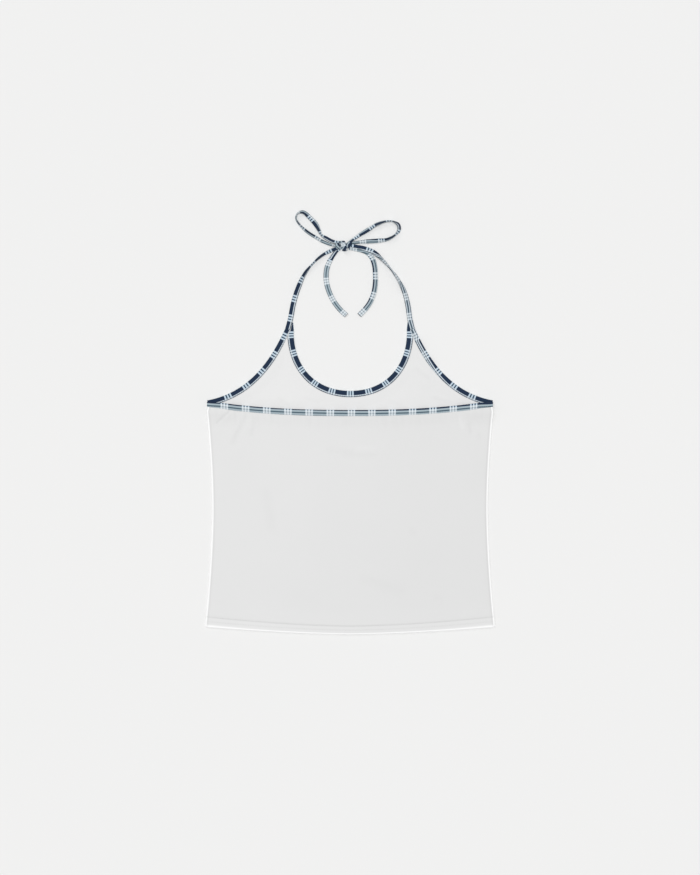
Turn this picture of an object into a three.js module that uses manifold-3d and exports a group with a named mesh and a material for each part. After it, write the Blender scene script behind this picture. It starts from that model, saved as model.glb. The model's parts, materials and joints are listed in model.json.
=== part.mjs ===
// A halter neck top in thin white jersey, bound with checked tape and laid flat with its back upwards.
// The front and its bib lie on the surface, the back lies on them, and the ties meet in a bow.
// Millimetres, +Z up. X runs across the garment and Y from the hem to the bow, and the origin is under the
// middle of the garment as it is laid out.
import * as THREE from 'three';
import { mergeVertices } from 'three/addons/utils/BufferGeometryUtils.js';
import Module from 'manifold-3d';

const wasm = await Module();
wasm.setup();
const { smoothstep, lerp, degToRad } = THREE.MathUtils;

// Walls, and the space left where pieces are sewn together
const CLOTH = 1.0;
const TAPE = 1.0;
const GAP = 0.3;
const HEM_DEPTH = 10.5;
const HEM_FOLD = 0.6;
const HEM_STEP = 1.2;

// Body outline: half widths at the waist, and how far the sides flare from it to the top and to the hem
const WAIST_HALF = 181.7;
const WAIST_Y = -115;
const TOP_FLARE = 8.6;
const HEM_FLARE = 8.1;
const FLARE_SPAN = 143;
const FLARE_POWER = 1.7;

// Edges across the body: height at the middle, and the rise from there to the sides
const HEM = { middle: -281.3, rise: 8.2, power: 1.6 };
const BACK_EDGE = { middle: 15.3, rise: 12.2, power: 2.4 };
const TOP_HALF = 190.3;

// Bound edges of the right half, as curves: the armhole from the strap root to the side seam, and the
// neckline from the middle to the strap root
const STRAP_ROOT = new THREE.Vector2(86.3, 124.5);
const ARMHOLE_EDGE = new THREE.CubicBezierCurve(
  STRAP_ROOT,
  new THREE.Vector2(103.7, 85),
  new THREE.Vector2(132.5, 38.8),
  new THREE.Vector2(TOP_HALF, 28.2),
);
const NECK_EDGE = new THREE.CubicBezierCurve(
  new THREE.Vector2(0, 40.9),
  new THREE.Vector2(51.2, 40.9),
  new THREE.Vector2(77.2, 79.3),
  new THREE.Vector2(75.2, 122.4),
);

// Where the neckline's tape has run out beside the strap, and the strap's outer side at about that height
const NECK_END = new THREE.Vector2(76.2, 132);
const STRAP_SIDE = new THREE.Vector2(83.4, 137);

// The tape: folded over a cloth edge it is a channel, and past the bib it is a closed strip
const TAPE_WIDTH = 8.4;
const ARMHOLE_TAPE_WIDTH = 7.6;
const TIE_WIDTH = 7.0;
const TIE_THICK = 2.0;
const TIE_FOLD = 0.5;
const TAPER_RUN = 45;
const CHANNEL_RISE = 2 * TAPE + 2 * GAP + CLOTH;
const CLOTH_INSET = TAPE + GAP;
const TAPE_CORNER = 0.35;

// How the layers lift off each other: the cloth rises into its tape within EDGE_RUN of the edge, and the
// back climbs over the armhole tape at its two top corners
const EDGE_RUN = { from: 9, to: 24 };
const CORNER_RUN = { x: 140, fullX: 166, y: -8, fullY: 13 };
const HEM_RUN = 32;
const AIR = { rise: 1.6, run: 80, power: 6 };
const BACK_HIGH = CLOTH + GAP + CLOTH;

// How finely the pieces are divided
const ARMHOLE_STEPS = 14;
const NECK_STEPS = 12;
const BACK_COLUMNS = 36;
const FRONT_STEPS = 3;
const BACK_STEPS = 10;
const BIB_LINE = 4;
const BIB_ROWS = [0.16, 0.33, 0.5, 0.66, 0.8, 0.91, 1];
const BACK_TOP_ROWS = [44, 30, 21, 14, 8, 0];
const TIE_STEPS_PER_ROW = 3;

// Soft folds: a ridge between two points, its half width and its rise
const BIB_FOLDS = [
  { x: -118, y: 30, toX: -78, toY: 24, width: 11, rise: 0.9 },
  { x: 84, y: 70, toX: 100, toY: 52, width: 9, rise: 0.8 },
];
const BACK_FOLDS = [
  { x: -140, y: -10, toX: -166, toY: -60, width: 16, rise: 1.1 },
  { x: 148, y: -14, toX: 164, toY: -72, width: 16, rise: 0.9 },
  { x: -34, y: -44, toX: 38, toY: -50, width: 15, rise: 0.7 },
  { x: 58, y: -126, toX: 98, toY: -172, width: 20, rise: 0.8 },
  { x: -124, y: -188, toX: -58, toY: -224, width: 20, rise: 0.7 },
];

// Ties, as rows along the middle of the strip: its place, how far it turns up on its edge in degrees, how
// high its lower edge lies, and its width where the knot draws it in
const TIES = {
  strap_left: [
    { x: -82.7, y: 124.4, tilt: 0, lift: 0, width: 7 },
    { x: -79.8, y: 137, tilt: 0, lift: 0, width: 7 },
    { x: -76.3, y: 157, tilt: -6, lift: 0, width: 7 },
    { x: -70.2, y: 177.5, tilt: -26, lift: 0, width: 7 },
    { x: -61.3, y: 196.5, tilt: -58, lift: 0, width: 7 },
    { x: -50.7, y: 210.3, tilt: -84, lift: 0, width: 6.8 },
    { x: -38.5, y: 220.8, tilt: -62, lift: 0.9, width: 6.2 },
    { x: -25.5, y: 227.6, tilt: -18, lift: 2.7, width: 5 },
    { x: -15, y: 231.6, tilt: -8, lift: 3, width: 4 },
  ],
  strap_right: [
    { x: 82.7, y: 124.4, tilt: 0, lift: 0, width: 7 },
    { x: 79.8, y: 137, tilt: 4, lift: 0, width: 7 },
    { x: 77.2, y: 155, tilt: 18, lift: 0, width: 7 },
    { x: 72, y: 173.5, tilt: 34, lift: 0, width: 7 },
    { x: 64.6, y: 189.5, tilt: 62, lift: 0, width: 7 },
    { x: 55.2, y: 203.3, tilt: 80, lift: 0, width: 7 },
    { x: 44.3, y: 215.2, tilt: 66, lift: 1.0, width: 7 },
    { x: 32, y: 224.4, tilt: 25, lift: 2.8, width: 6.6 },
    { x: 20, y: 230.2, tilt: 8, lift: 2.8, width: 6 },
    { x: 8, y: 233.4, tilt: 6, lift: 2.8, width: 4.4 },
    { x: -1, y: 234.6, tilt: 6, lift: 2.8, width: 4 },
  ],
  bow_loop_left: [
    { x: -12, y: 238.2, tilt: 50, lift: 1, width: 4 },
    { x: -22, y: 239.3, tilt: 52, lift: 0.5, width: 4.2 },
    { x: -34, y: 244.6, tilt: 50, lift: 0, width: 5 },
    { x: -40.6, y: 251.4, tilt: 38, lift: 0, width: 6.4 },
    { x: -45.6, y: 261, tilt: 34, lift: 0, width: 7 },
    { x: -53.4, y: 271.6, tilt: 42, lift: 0, width: 7 },
    { x: -62.6, y: 279, tilt: 62, lift: 0, width: 7 },
    { x: -69.8, y: 277.2, tilt: 82, lift: 0, width: 7 },
    { x: -72.0, y: 270.6, tilt: 88, lift: 0, width: 7 },
    { x: -67.4, y: 262.4, tilt: 84, lift: 0, width: 7 },
    { x: -57.3, y: 253.8, tilt: 74, lift: 0, width: 6.4 },
    { x: -45.6, y: 246, tilt: 66, lift: 0, width: 5.6 },
    { x: -34, y: 239.2, tilt: 62, lift: 0.3, width: 4.6 },
    { x: -22, y: 234.7, tilt: 60, lift: 1, width: 3.6 },
    { x: -12, y: 234.4, tilt: 56, lift: 1.5, width: 3.4 },
  ],
  bow_loop_right: [
    { x: -5, y: 235.6, tilt: -48, lift: 2.2, width: 4 },
    { x: 2.4, y: 241.2, tilt: -46, lift: 1.2, width: 4.4 },
    { x: 11, y: 247.4, tilt: -40, lift: 0.4, width: 5.4 },
    { x: 23.4, y: 255, tilt: -38, lift: 0, width: 6.6 },
    { x: 35.4, y: 262.4, tilt: -55, lift: 0, width: 7 },
    { x: 46.8, y: 266.4, tilt: -74, lift: 0, width: 7 },
    { x: 57.2, y: 266.6, tilt: -84, lift: 0, width: 7 },
    { x: 64.4, y: 262.3, tilt: -90, lift: 0, width: 7 },
    { x: 65.2, y: 255, tilt: -90, lift: 0, width: 7 },
    { x: 59.6, y: 248, tilt: -82, lift: 0, width: 7 },
    { x: 49.5, y: 243.4, tilt: -66, lift: 0, width: 7 },
    { x: 37, y: 241.6, tilt: -36, lift: 0, width: 6.6 },
    { x: 23.4, y: 240.6, tilt: -28, lift: 0, width: 6 },
    { x: 11, y: 238.8, tilt: -40, lift: 0, width: 4.6 },
    { x: 1.5, y: 237.6, tilt: -40, lift: 0.4, width: 4 },
  ],
  bow_tail_left: [
    { x: -11, y: 232.4, tilt: 0, lift: 0, width: 4.4 },
    { x: -17.2, y: 228.2, tilt: 0, lift: 0, width: 5.4 },
    { x: -22.6, y: 221.4, tilt: 0, lift: 0, width: 6.4 },
    { x: -27.4, y: 213.4, tilt: 0, lift: 0, width: 6.8 },
    { x: -30.6, y: 203.6, tilt: 0, lift: 0, width: 6.8 },
    { x: -31.6, y: 192.5, tilt: 0, lift: 0, width: 6.8 },
    { x: -30.2, y: 180.4, tilt: 0, lift: 0, width: 6.8 },
    { x: -26, y: 168.6, tilt: 0, lift: 0, width: 6.8 },
    { x: -19.6, y: 157.2, tilt: 0, lift: 0, width: 6.8 },
    { x: -12.6, y: 148.6, tilt: 0, lift: 0, width: 6.8 },
    { x: -4.8, y: 141.4, tilt: 0, lift: 0, width: 6.8 },
  ],
  bow_tail_right: [
    { x: -1.5, y: 230.8, tilt: 0, lift: 0, width: 4.2 },
    { x: 10.4, y: 228.2, tilt: 0, lift: 0, width: 5.2 },
    { x: 21.6, y: 225.2, tilt: 4, lift: 0, width: 6.4 },
    { x: 29.2, y: 219, tilt: 12, lift: 0, width: 6.8 },
    { x: 33.2, y: 208.8, tilt: 24, lift: 0, width: 6.8 },
    { x: 34.5, y: 196, tilt: 28, lift: 0, width: 6.8 },
    { x: 34.2, y: 183, tilt: 26, lift: 0, width: 6.8 },
    { x: 32.1, y: 170.6, tilt: 20, lift: 0, width: 6.8 },
    { x: 27.6, y: 159.4, tilt: 12, lift: 0, width: 6.8 },
    { x: 21, y: 149.8, tilt: 4, lift: 0, width: 6.8 },
    { x: 12.9, y: 141.6, tilt: 0, lift: 0, width: 6.8 },
  ],
};

// The knot, as girths along its length: two lobes and the turn of tape between them
const KNOT = { x: -8, y: 234.7, z: 3.2, turn: 4, squash: 0.86, sides: 18 };
const KNOT_GIRTHS = [
  { along: -13, radius: 0 },
  { along: -12, radius: 3.1 },
  { along: -8.6, radius: 4.9 },
  { along: -4.6, radius: 4.6 },
  { along: -3.2, radius: 5.0 },
  { along: -2.0, radius: 6.2 },
  { along: 1.4, radius: 6.6 },
  { along: 4.6, radius: 6.1 },
  { along: 5.8, radius: 4.8 },
  { along: 8.6, radius: 5.1 },
  { along: 11.4, radius: 4.2 },
  { along: 12.8, radius: 2.4 },
  { along: 13.2, radius: 0 },
];

// Finishes
const jersey = new THREE.MeshStandardMaterial({ color: 0xe9e9e8, roughness: 0.85, metalness: 0 });
const tapeInside = new THREE.MeshStandardMaterial({ color: 0x2c4262, roughness: 0.8, metalness: 0 });
const tapeOutside = new THREE.MeshStandardMaterial({ color: 0x93a9b6, roughness: 0.8, metalness: 0 });

// A closed mesh from points and triangles, turned so that its faces point out
function closedMesh(points, triangles) {
  const geometry = new THREE.BufferGeometry();
  const positions = points.flatMap((point) => [point.x, point.y, point.z]);
  geometry.setAttribute('position', new THREE.Float32BufferAttribute(positions, 3));
  const volume = triangles.reduce((sum, [a, b, c]) => {
    const face = new THREE.Vector3().crossVectors(points[b], points[c]);
    return sum + points[a].dot(face);
  }, 0);
  const outward = volume > 0 ? triangles : triangles.map(([a, b, c]) => [a, c, b]);
  geometry.setIndex(outward.flat());
  return geometry;
}

// A bar through rings of equally many points, closed at both ends with the flat section's triangles
function bar(rings, section) {
  const size = section.length;
  const caps = THREE.ShapeUtils.triangulateShape(section, []);
  const last = (rings.length - 1) * size;
  const triangles = [];
  for (let ring = 0; ring < rings.length - 1; ring += 1) {
    for (let side = 0; side < size; side += 1) {
      const a = ring * size + side;
      const b = ring * size + ((side + 1) % size);
      triangles.push([a, b, b + size], [a, b + size, a + size]);
    }
  }
  for (const [a, b, c] of caps) {
    triangles.push([c, b, a], [a + last, b + last, c + last]);
  }
  return closedMesh(rings.flat(), triangles);
}

// A sheet of cloth from rows of points, each with the height of its lower and of its upper face
function sheet(rows) {
  const columns = rows[0].length;
  const cells = rows.flat();
  const layer = cells.length;
  const points = [
    ...cells.map((cell) => new THREE.Vector3(cell.x, cell.y, cell.low)),
    ...cells.map((cell) => new THREE.Vector3(cell.x, cell.y, cell.high)),
  ];
  const triangles = [];
  for (let row = 0; row < rows.length - 1; row += 1) {
    for (let column = 0; column < columns - 1; column += 1) {
      const a = row * columns + column;
      const b = a + 1;
      const c = b + columns;
      const d = a + columns;
      triangles.push([a + layer, b + layer, c + layer], [a + layer, c + layer, d + layer]);
      triangles.push([a, c, b], [a, d, c]);
    }
  }
  const top = (rows.length - 1) * columns;
  const rim = [];
  for (let column = 0; column < columns - 1; column += 1) rim.push(column);
  for (let row = 0; row < rows.length - 1; row += 1) rim.push(row * columns + columns - 1);
  for (let column = columns - 1; column > 0; column -= 1) rim.push(top + column);
  for (let row = rows.length - 1; row > 0; row -= 1) rim.push(row * columns);
  rim.forEach((a, place) => {
    const b = rim[(place + 1) % rim.length];
    triangles.push([a, b, b + layer], [a, b + layer, a + layer]);
  });
  return closedMesh(points, triangles);
}

// Half width of the body at a height
function sideX(y) {
  const reach = Math.abs(y - WAIST_Y) / FLARE_SPAN;
  const flare = y > WAIST_Y ? TOP_FLARE : HEM_FLARE;
  return WAIST_HALF + flare * reach ** FLARE_POWER;
}

// Height of an edge that crosses the body
function edgeY(edge, x) {
  return edge.middle + edge.rise * Math.min(1, Math.abs(x) / TOP_HALF) ** edge.power;
}

// Stations along a bound edge, each with its direction into the cloth and its distance from the start
function stations(curve, steps) {
  return Array.from({ length: steps + 1 }, (_, step) => {
    const point = curve.getPointAt(step / steps);
    const along = curve.getTangentAt(step / steps);
    return { point, into: new THREE.Vector2(along.y, -along.x), run: (curve.getLength() * step) / steps };
  });
}

const armholeStations = stations(ARMHOLE_EDGE, ARMHOLE_STEPS);
const neckStations = stations(NECK_EDGE, NECK_STEPS);
const edgePoints = [...stations(ARMHOLE_EDGE, 90), ...stations(NECK_EDGE, 90)].map((place) => place.point);

// Rise of a sheet at a point from its table of folds
function foldRise(folds, x, y) {
  const point = new THREE.Vector3(x, y, 0);
  const nearest = new THREE.Vector3();
  return folds.reduce((sum, fold) => {
    const start = new THREE.Vector3(fold.x, fold.y, 0);
    const end = new THREE.Vector3(fold.toX, fold.toY, 0);
    const ridge = new THREE.Line3(start, end);
    ridge.closestPointToPoint(point, true, nearest);
    return sum + fold.rise * Math.exp(-((nearest.distanceTo(point) / fold.width) ** 2));
  }, 0);
}

// Lower face of the front: flat on the surface, and lifted into the tape at the armholes and neckline
function frontLow(x, y) {
  const here = new THREE.Vector2(Math.abs(x), y);
  const reach = Math.min(...edgePoints.map((point) => point.distanceTo(here)));
  const inTape = 1 - smoothstep(reach, EDGE_RUN.from, EDGE_RUN.to);
  const aboveBack = smoothstep(y - edgeY(BACK_EDGE, x), 1, 13);
  return CLOTH_INSET * inTape + foldRise(BIB_FOLDS, x, y) * (1 - inTape) * aboveBack;
}

// Lift of the back over the end of the armhole tape
function cornerLift(x, y) {
  const across = smoothstep(Math.abs(x), CORNER_RUN.x, CORNER_RUN.fullX);
  return (CHANNEL_RISE - CLOTH) * across * smoothstep(y, CORNER_RUN.y, CORNER_RUN.fullY);
}

// Upper face of the back: on the front, with a little air between, a doubled hem below and its tape above
function backHigh(x, y) {
  const aboveHem = y - edgeY(HEM, x);
  const belowEdge = edgeY(BACK_EDGE, x) - y;
  const hem = 2 * HEM_FOLD * (1 - smoothstep(aboveHem, HEM_DEPTH + HEM_STEP, HEM_RUN));
  const inTape = CLOTH_INSET * (1 - smoothstep(belowEdge, EDGE_RUN.from, EDGE_RUN.to));
  const clear = smoothstep(aboveHem, HEM_DEPTH, AIR.run) * smoothstep(belowEdge, EDGE_RUN.to, AIR.run);
  const folds = foldRise(BACK_FOLDS, x, y) * smoothstep(belowEdge, EDGE_RUN.from, EDGE_RUN.to);
  const side = 1 - (Math.abs(x) / sideX(y)) ** AIR.power;
  return BACK_HIGH + hem + inTape + cornerLift(x, y) + (AIR.rise * clear + folds) * side;
}

// Rows of the hem, which is turned up to the inside and so doubles the cloth
const hemRows = [0, HEM_DEPTH / 2, HEM_DEPTH, HEM_DEPTH + HEM_STEP];
const hemFold = (aboveHem) => (aboveHem > HEM_DEPTH + HEM_STEP / 2 ? 0 : HEM_FOLD);

// Front and bib: columns run from the hem to the neckline and the armholes, and share the tape's stations
function frontPanel() {
  const halfTops = [...neckStations, ...armholeStations].map(
    ({ point, into }) => point.clone().addScaledVector(into, CLOTH_INSET),
  );
  const corner = halfTops.at(-1);
  const halfColumns = halfTops.map((top, place) => ({
    top,
    share: lerp(top.x / corner.x, place / (halfTops.length - 1), 0.5),
  }));
  const mirrored = halfColumns.slice(1).reverse().map(({ top, share }) => ({
    top: new THREE.Vector2(-top.x, top.y),
    share: -share,
  }));
  const columns = [...mirrored, ...halfColumns];
  const cell = (x, y, fold) => ({ x, y, low: frontLow(x, y), high: frontLow(x, y) + CLOTH + fold });
  const bodyRow = (share, aboveHem) => {
    const y = edgeY(HEM, share * TOP_HALF) + aboveHem;
    return cell(share * sideX(y), y, hemFold(aboveHem));
  };
  const bodyHeight = (share) => BIB_LINE - edgeY(HEM, share * TOP_HALF);
  const rows = hemRows.map((aboveHem) => columns.map(({ share }) => bodyRow(share, aboveHem)));
  for (let step = 1; step <= FRONT_STEPS; step += 1) {
    const part = step / FRONT_STEPS;
    rows.push(columns.map(({ share }) => bodyRow(share, lerp(hemRows.at(-1), bodyHeight(share), part))));
  }
  for (const part of BIB_ROWS) {
    rows.push(columns.map(({ top, share }) => {
      const x = lerp(share * sideX(BIB_LINE), top.x, part);
      return cell(x, lerp(BIB_LINE, top.y, part), 0);
    }));
  }
  return sheet(rows);
}

// Back: columns share the stations of the tape on its top edge
const backShares = Array.from(
  { length: BACK_COLUMNS + 1 },
  (_, column) => lerp(-1, 1, column / BACK_COLUMNS),
);

function backPanel() {
  const cell = (share, y, fold) => {
    const x = share * sideX(y);
    return { x, y, low: backHigh(x, y) - CLOTH - fold, high: backHigh(x, y) };
  };
  const hemLine = (share) => edgeY(HEM, share * TOP_HALF);
  const topLine = (share) => edgeY(BACK_EDGE, share * TOP_HALF) - CLOTH_INSET;
  const rows = hemRows.map((aboveHem) => (
    backShares.map((share) => cell(share, hemLine(share) + aboveHem, hemFold(aboveHem)))
  ));
  for (let step = 1; step < BACK_STEPS; step += 1) {
    const part = step / BACK_STEPS;
    rows.push(backShares.map((share) => {
      const from = hemLine(share) + hemRows.at(-1);
      return cell(share, lerp(from, topLine(share) - BACK_TOP_ROWS[0], part), 0);
    }));
  }
  for (const below of BACK_TOP_ROWS) {
    rows.push(backShares.map((share) => cell(share, topLine(share) - below, 0)));
  }
  return sheet(rows);
}

// Section of the folded tape, as depth into the cloth and height: two legs joined along the edge
function channelSection(width, base) {
  const high = base + CHANNEL_RISE;
  return [
    new THREE.Vector2(TAPE_CORNER, base),
    new THREE.Vector2(width, base),
    new THREE.Vector2(width, base + TAPE),
    new THREE.Vector2(TAPE, base + TAPE),
    new THREE.Vector2(TAPE, high - TAPE),
    new THREE.Vector2(width, high - TAPE),
    new THREE.Vector2(width, high),
    new THREE.Vector2(TAPE_CORNER, high),
    new THREE.Vector2(0, high - TAPE_CORNER),
    new THREE.Vector2(0, base + TAPE_CORNER),
  ];
}

// Section that clears the folded tape by the gap, to cut what ends against it
function clearSection(width) {
  return [
    new THREE.Vector2(-GAP, -1),
    new THREE.Vector2(width + GAP, -1),
    new THREE.Vector2(width + GAP, CHANNEL_RISE + 1),
    new THREE.Vector2(-GAP, CHANNEL_RISE + 1),
  ];
}

// A section carried along stations
function alongEdge(places, sectionAt) {
  const rings = places.map((place) => sectionAt(place).map(({ x: depth, y: height }) => (
    new THREE.Vector3(place.point.x + place.into.x * depth, place.point.y + place.into.y * depth, height)
  )));
  return bar(rings, sectionAt(places[0]));
}

// Tape width along the armhole, which narrows to the closed strip at the strap root
const armholeWidth = ({ run }) => lerp(TIE_WIDTH, ARMHOLE_TAPE_WIDTH, smoothstep(run, 0, TAPER_RUN));

function mirrorX(places) {
  return places.map(({ point, into, run }) => ({
    point: new THREE.Vector2(-point.x, point.y),
    into: new THREE.Vector2(-into.x, into.y),
    run,
  }));
}

function armholeBinding(places) {
  return alongEdge(places, (place) => channelSection(armholeWidth(place), 0));
}

// The neckline's tape runs out beside the strap roots and ends against the armhole tapes, which cross it
function necklineBinding() {
  const runOut = { point: NECK_END, into: neckStations.at(-1).into };
  const half = [...neckStations, runOut];
  const places = [...mirrorX(half).reverse(), ...half.slice(1)];
  const whole = alongEdge(places, () => channelSection(TAPE_WIDTH, 0));
  const besideStrap = { point: STRAP_SIDE, into: new THREE.Vector2(-1, 0), run: 0 };
  const side = [besideStrap, ...armholeStations];
  const sides = [side, mirrorX(side)];
  const cutters = sides.map((side) => alongEdge(side, (place) => clearSection(armholeWidth(place))));
  return cut(whole, cutters);
}

function backBinding() {
  const places = backShares.map((share) => {
    const x = share * TOP_HALF;
    return { point: new THREE.Vector2(x, edgeY(BACK_EDGE, x)), into: new THREE.Vector2(0, -1) };
  });
  return alongEdge(places, ({ point }) => {
    const base = CLOTH + GAP + cornerLift(point.x, point.y);
    return channelSection(TAPE_WIDTH, base);
  });
}

// A closed strip of tape along a tie's rows. Its height follows from how far it stands up on its edge.
function tieStrip(rows) {
  const path = new THREE.CatmullRomCurve3(rows.map((row) => new THREE.Vector3(row.x, row.y, 0)));
  const steps = (rows.length - 1) * TIE_STEPS_PER_ROW;
  const rings = [];
  for (let step = 0; step <= steps; step += 1) {
    const place = step / TIE_STEPS_PER_ROW;
    const row = rows[Math.floor(place)];
    const next = rows[Math.ceil(place)];
    const between = smoothstep(place % 1, 0, 1);
    const tilt = degToRad(lerp(row.tilt, next.tilt, between));
    const lift = lerp(row.lift, next.lift, between);
    const width = lerp(row.width, next.width, between);
    const middle = path.getPoint(step / steps);
    middle.z = lift + (width * Math.abs(Math.sin(tilt)) + TIE_THICK * Math.cos(tilt)) / 2;
    const along = path.getTangent(step / steps);
    const level = new THREE.Vector3(-along.y, along.x, 0);
    const across = level.applyAxisAngle(along, tilt);
    const up = new THREE.Vector3().crossVectors(along, across);
    rings.push(stripSection(width).map(({ x: side, y: rise }) => (
      middle.clone().addScaledVector(across, side).addScaledVector(up, rise)
    )));
  }
  return bar(rings, stripSection(TIE_WIDTH));
}

function stripSection(width) {
  const side = width / 2;
  const rise = TIE_THICK / 2;
  return [
    new THREE.Vector2(-side + TIE_FOLD, -rise),
    new THREE.Vector2(side - TIE_FOLD, -rise),
    new THREE.Vector2(side, 0),
    new THREE.Vector2(side - TIE_FOLD, rise),
    new THREE.Vector2(-side + TIE_FOLD, rise),
    new THREE.Vector2(-side, 0),
  ];
}

// The knot, flat where it rests. A grown copy of it cuts the strips that run into it.
function knotSolid(grown) {
  const profile = KNOT_GIRTHS.map(({ along, radius }, place) => {
    const isEnd = place === 0 || place === KNOT_GIRTHS.length - 1;
    return new THREE.Vector2(isEnd ? 0 : radius + grown, along + Math.sign(along) * grown);
  });
  const geometry = new THREE.LatheGeometry(profile, KNOT.sides);
  geometry.deleteAttribute('normal');
  geometry.deleteAttribute('uv');
  geometry.rotateZ(-Math.PI / 2 + degToRad(KNOT.turn));
  geometry.scale(1, 1, KNOT.squash);
  geometry.translate(KNOT.x, KNOT.y, KNOT.z);
  const positions = geometry.getAttribute('position');
  for (let place = 0; place < positions.count; place += 1) {
    positions.setZ(place, Math.max(positions.getZ(place), -grown));
  }
  return mergeVertices(geometry, 1e-3);
}

function toManifold(geometry) {
  const merged = mergeVertices(geometry, 1e-4);
  return new wasm.Manifold(new wasm.Mesh({
    numProp: 3,
    vertProperties: new Float32Array(merged.getAttribute('position').array),
    triVerts: new Uint32Array(merged.getIndex().array),
  }));
}

function cut(geometry, cutters) {
  const left = cutters.reduce((solid, cutter) => solid.subtract(toManifold(cutter)), toManifold(geometry));
  const { vertProperties, triVerts } = left.getMesh();
  const result = new THREE.BufferGeometry();
  result.setAttribute('position', new THREE.BufferAttribute(vertProperties, 3));
  result.setIndex(new THREE.BufferAttribute(triVerts, 1));
  return result;
}

const garment = new THREE.Group();

function add(name, geometry, material) {
  const mesh = new THREE.Mesh(geometry, material);
  mesh.name = name;
  garment.add(mesh);
}

add('front_panel', frontPanel(), jersey);
add('back_panel', backPanel(), jersey);
add('armhole_binding_right', armholeBinding(armholeStations), tapeInside);
add('armhole_binding_left', armholeBinding(mirrorX(armholeStations)), tapeInside);
add('neckline_binding', necklineBinding(), tapeInside);
add('back_binding', backBinding(), tapeOutside);
for (const [name, rows] of Object.entries(TIES)) {
  add(name, cut(tieStrip(rows), [knotSolid(GAP)]), name.includes('tail') ? tapeOutside : tapeInside);
}
add('bow_knot', knotSolid(0), tapeOutside);

export default garment;
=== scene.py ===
"""A halter neck top in thin white jersey, bound with checked tape, laid flat with its back upwards."""
import json
import random
from collections import namedtuple
from math import cos, exp, pi, radians, sin, sqrt

import bmesh
import bpy
from mathutils import Matrix, Vector

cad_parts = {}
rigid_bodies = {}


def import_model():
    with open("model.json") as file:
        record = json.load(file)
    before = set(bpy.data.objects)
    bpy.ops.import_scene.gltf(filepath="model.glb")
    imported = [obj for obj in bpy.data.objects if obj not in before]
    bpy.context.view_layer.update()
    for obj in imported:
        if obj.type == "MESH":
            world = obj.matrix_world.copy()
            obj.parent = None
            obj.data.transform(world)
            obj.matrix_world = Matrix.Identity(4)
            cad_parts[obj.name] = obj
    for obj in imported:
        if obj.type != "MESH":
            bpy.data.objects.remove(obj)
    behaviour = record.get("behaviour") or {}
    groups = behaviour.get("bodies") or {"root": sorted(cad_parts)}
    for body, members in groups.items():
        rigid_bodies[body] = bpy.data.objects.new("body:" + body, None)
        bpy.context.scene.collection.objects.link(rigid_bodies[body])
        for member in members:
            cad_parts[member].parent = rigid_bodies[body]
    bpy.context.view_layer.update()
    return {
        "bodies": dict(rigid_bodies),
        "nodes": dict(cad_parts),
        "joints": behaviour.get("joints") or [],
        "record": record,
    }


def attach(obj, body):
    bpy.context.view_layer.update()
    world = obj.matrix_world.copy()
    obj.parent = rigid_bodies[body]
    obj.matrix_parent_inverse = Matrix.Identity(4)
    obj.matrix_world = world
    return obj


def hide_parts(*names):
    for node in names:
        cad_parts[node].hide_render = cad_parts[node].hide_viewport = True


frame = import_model()
scene = bpy.context.scene


# Helpers that the pieces share.
# Shapes are worked out in millimetres. A piece of cloth is a sheet of cells that keeps its place on the flat
# cloth, which the check and the knit follow. Finishes are trees of shader nodes.
MM = 0.001
FOLD_REACH = 3.0
CURVE_STEPS = 600
CLOTH_SPECULAR = 0.18


def table(columns, *rows):
    """A table's rows as dictionaries, by the names of its columns."""
    return [dict(zip(columns.split(), row)) for row in rows]


def smooth(value, low, high):
    share = min(1.0, max(0.0, (value - low) / (high - low)))
    return share * share * (3.0 - 2.0 * share)


def between(start, end, share):
    return start + (end - start) * share


def bell(away, width):
    """Height of a soft ridge, 1 at its middle, at a distance from it."""
    return exp(-((away / width) ** 2))


def bend(corners, share):
    """Point and direction on a curve through the first and last of its four corners."""
    a, b, c, d = (Vector(corner) for corner in corners)
    rest = 1.0 - share
    point = a * rest**3 + b * 3 * rest**2 * share + c * 3 * rest * share**2 + d * share**3
    along = (b - a) * rest**2 + (c - b) * 2 * rest * share + (d - c) * share**2
    return point, along.normalized()


def even_places(corners, steps):
    """Places at even distances along a curve: point, direction into the cloth and distance run."""
    fine = [bend(corners, step / CURVE_STEPS) for step in range(CURVE_STEPS + 1)]
    runs = [0.0]
    for (before, _), (after, _) in zip(fine, fine[1:]):
        runs.append(runs[-1] + (after - before).length)
    places = []
    for step in range(steps + 1):
        run = runs[-1] * step / steps
        nearest = min(range(CURVE_STEPS + 1), key=lambda place: abs(runs[place] - run))
        point, along = fine[nearest]
        places.append((point, Vector((along.y, -along.x)), run))
    return places


def relief(folds, x, y):
    """Rise of a cloth at a point from a table of folds, each a soft ridge between two points."""
    total = 0.0
    for fold in folds:
        start, end = Vector(fold["start"]), Vector(fold["end"])
        span = end - start
        share = min(1.0, max(0.0, (Vector((x, y)) - start).dot(span) / span.length_squared))
        away = (Vector((x, y)) - start - span * share).length
        if away < FOLD_REACH * fold["width"]:
            total += fold["rise"] * bell(away, fold["width"])
    return total


def object_of(name, mesh):
    """A new object in the scene with the shape of a bmesh."""
    data = bpy.data.meshes.new(name)
    mesh.to_mesh(data)
    mesh.free()
    made = bpy.data.objects.new(name, data)
    scene.collection.objects.link(made)
    return made


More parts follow.
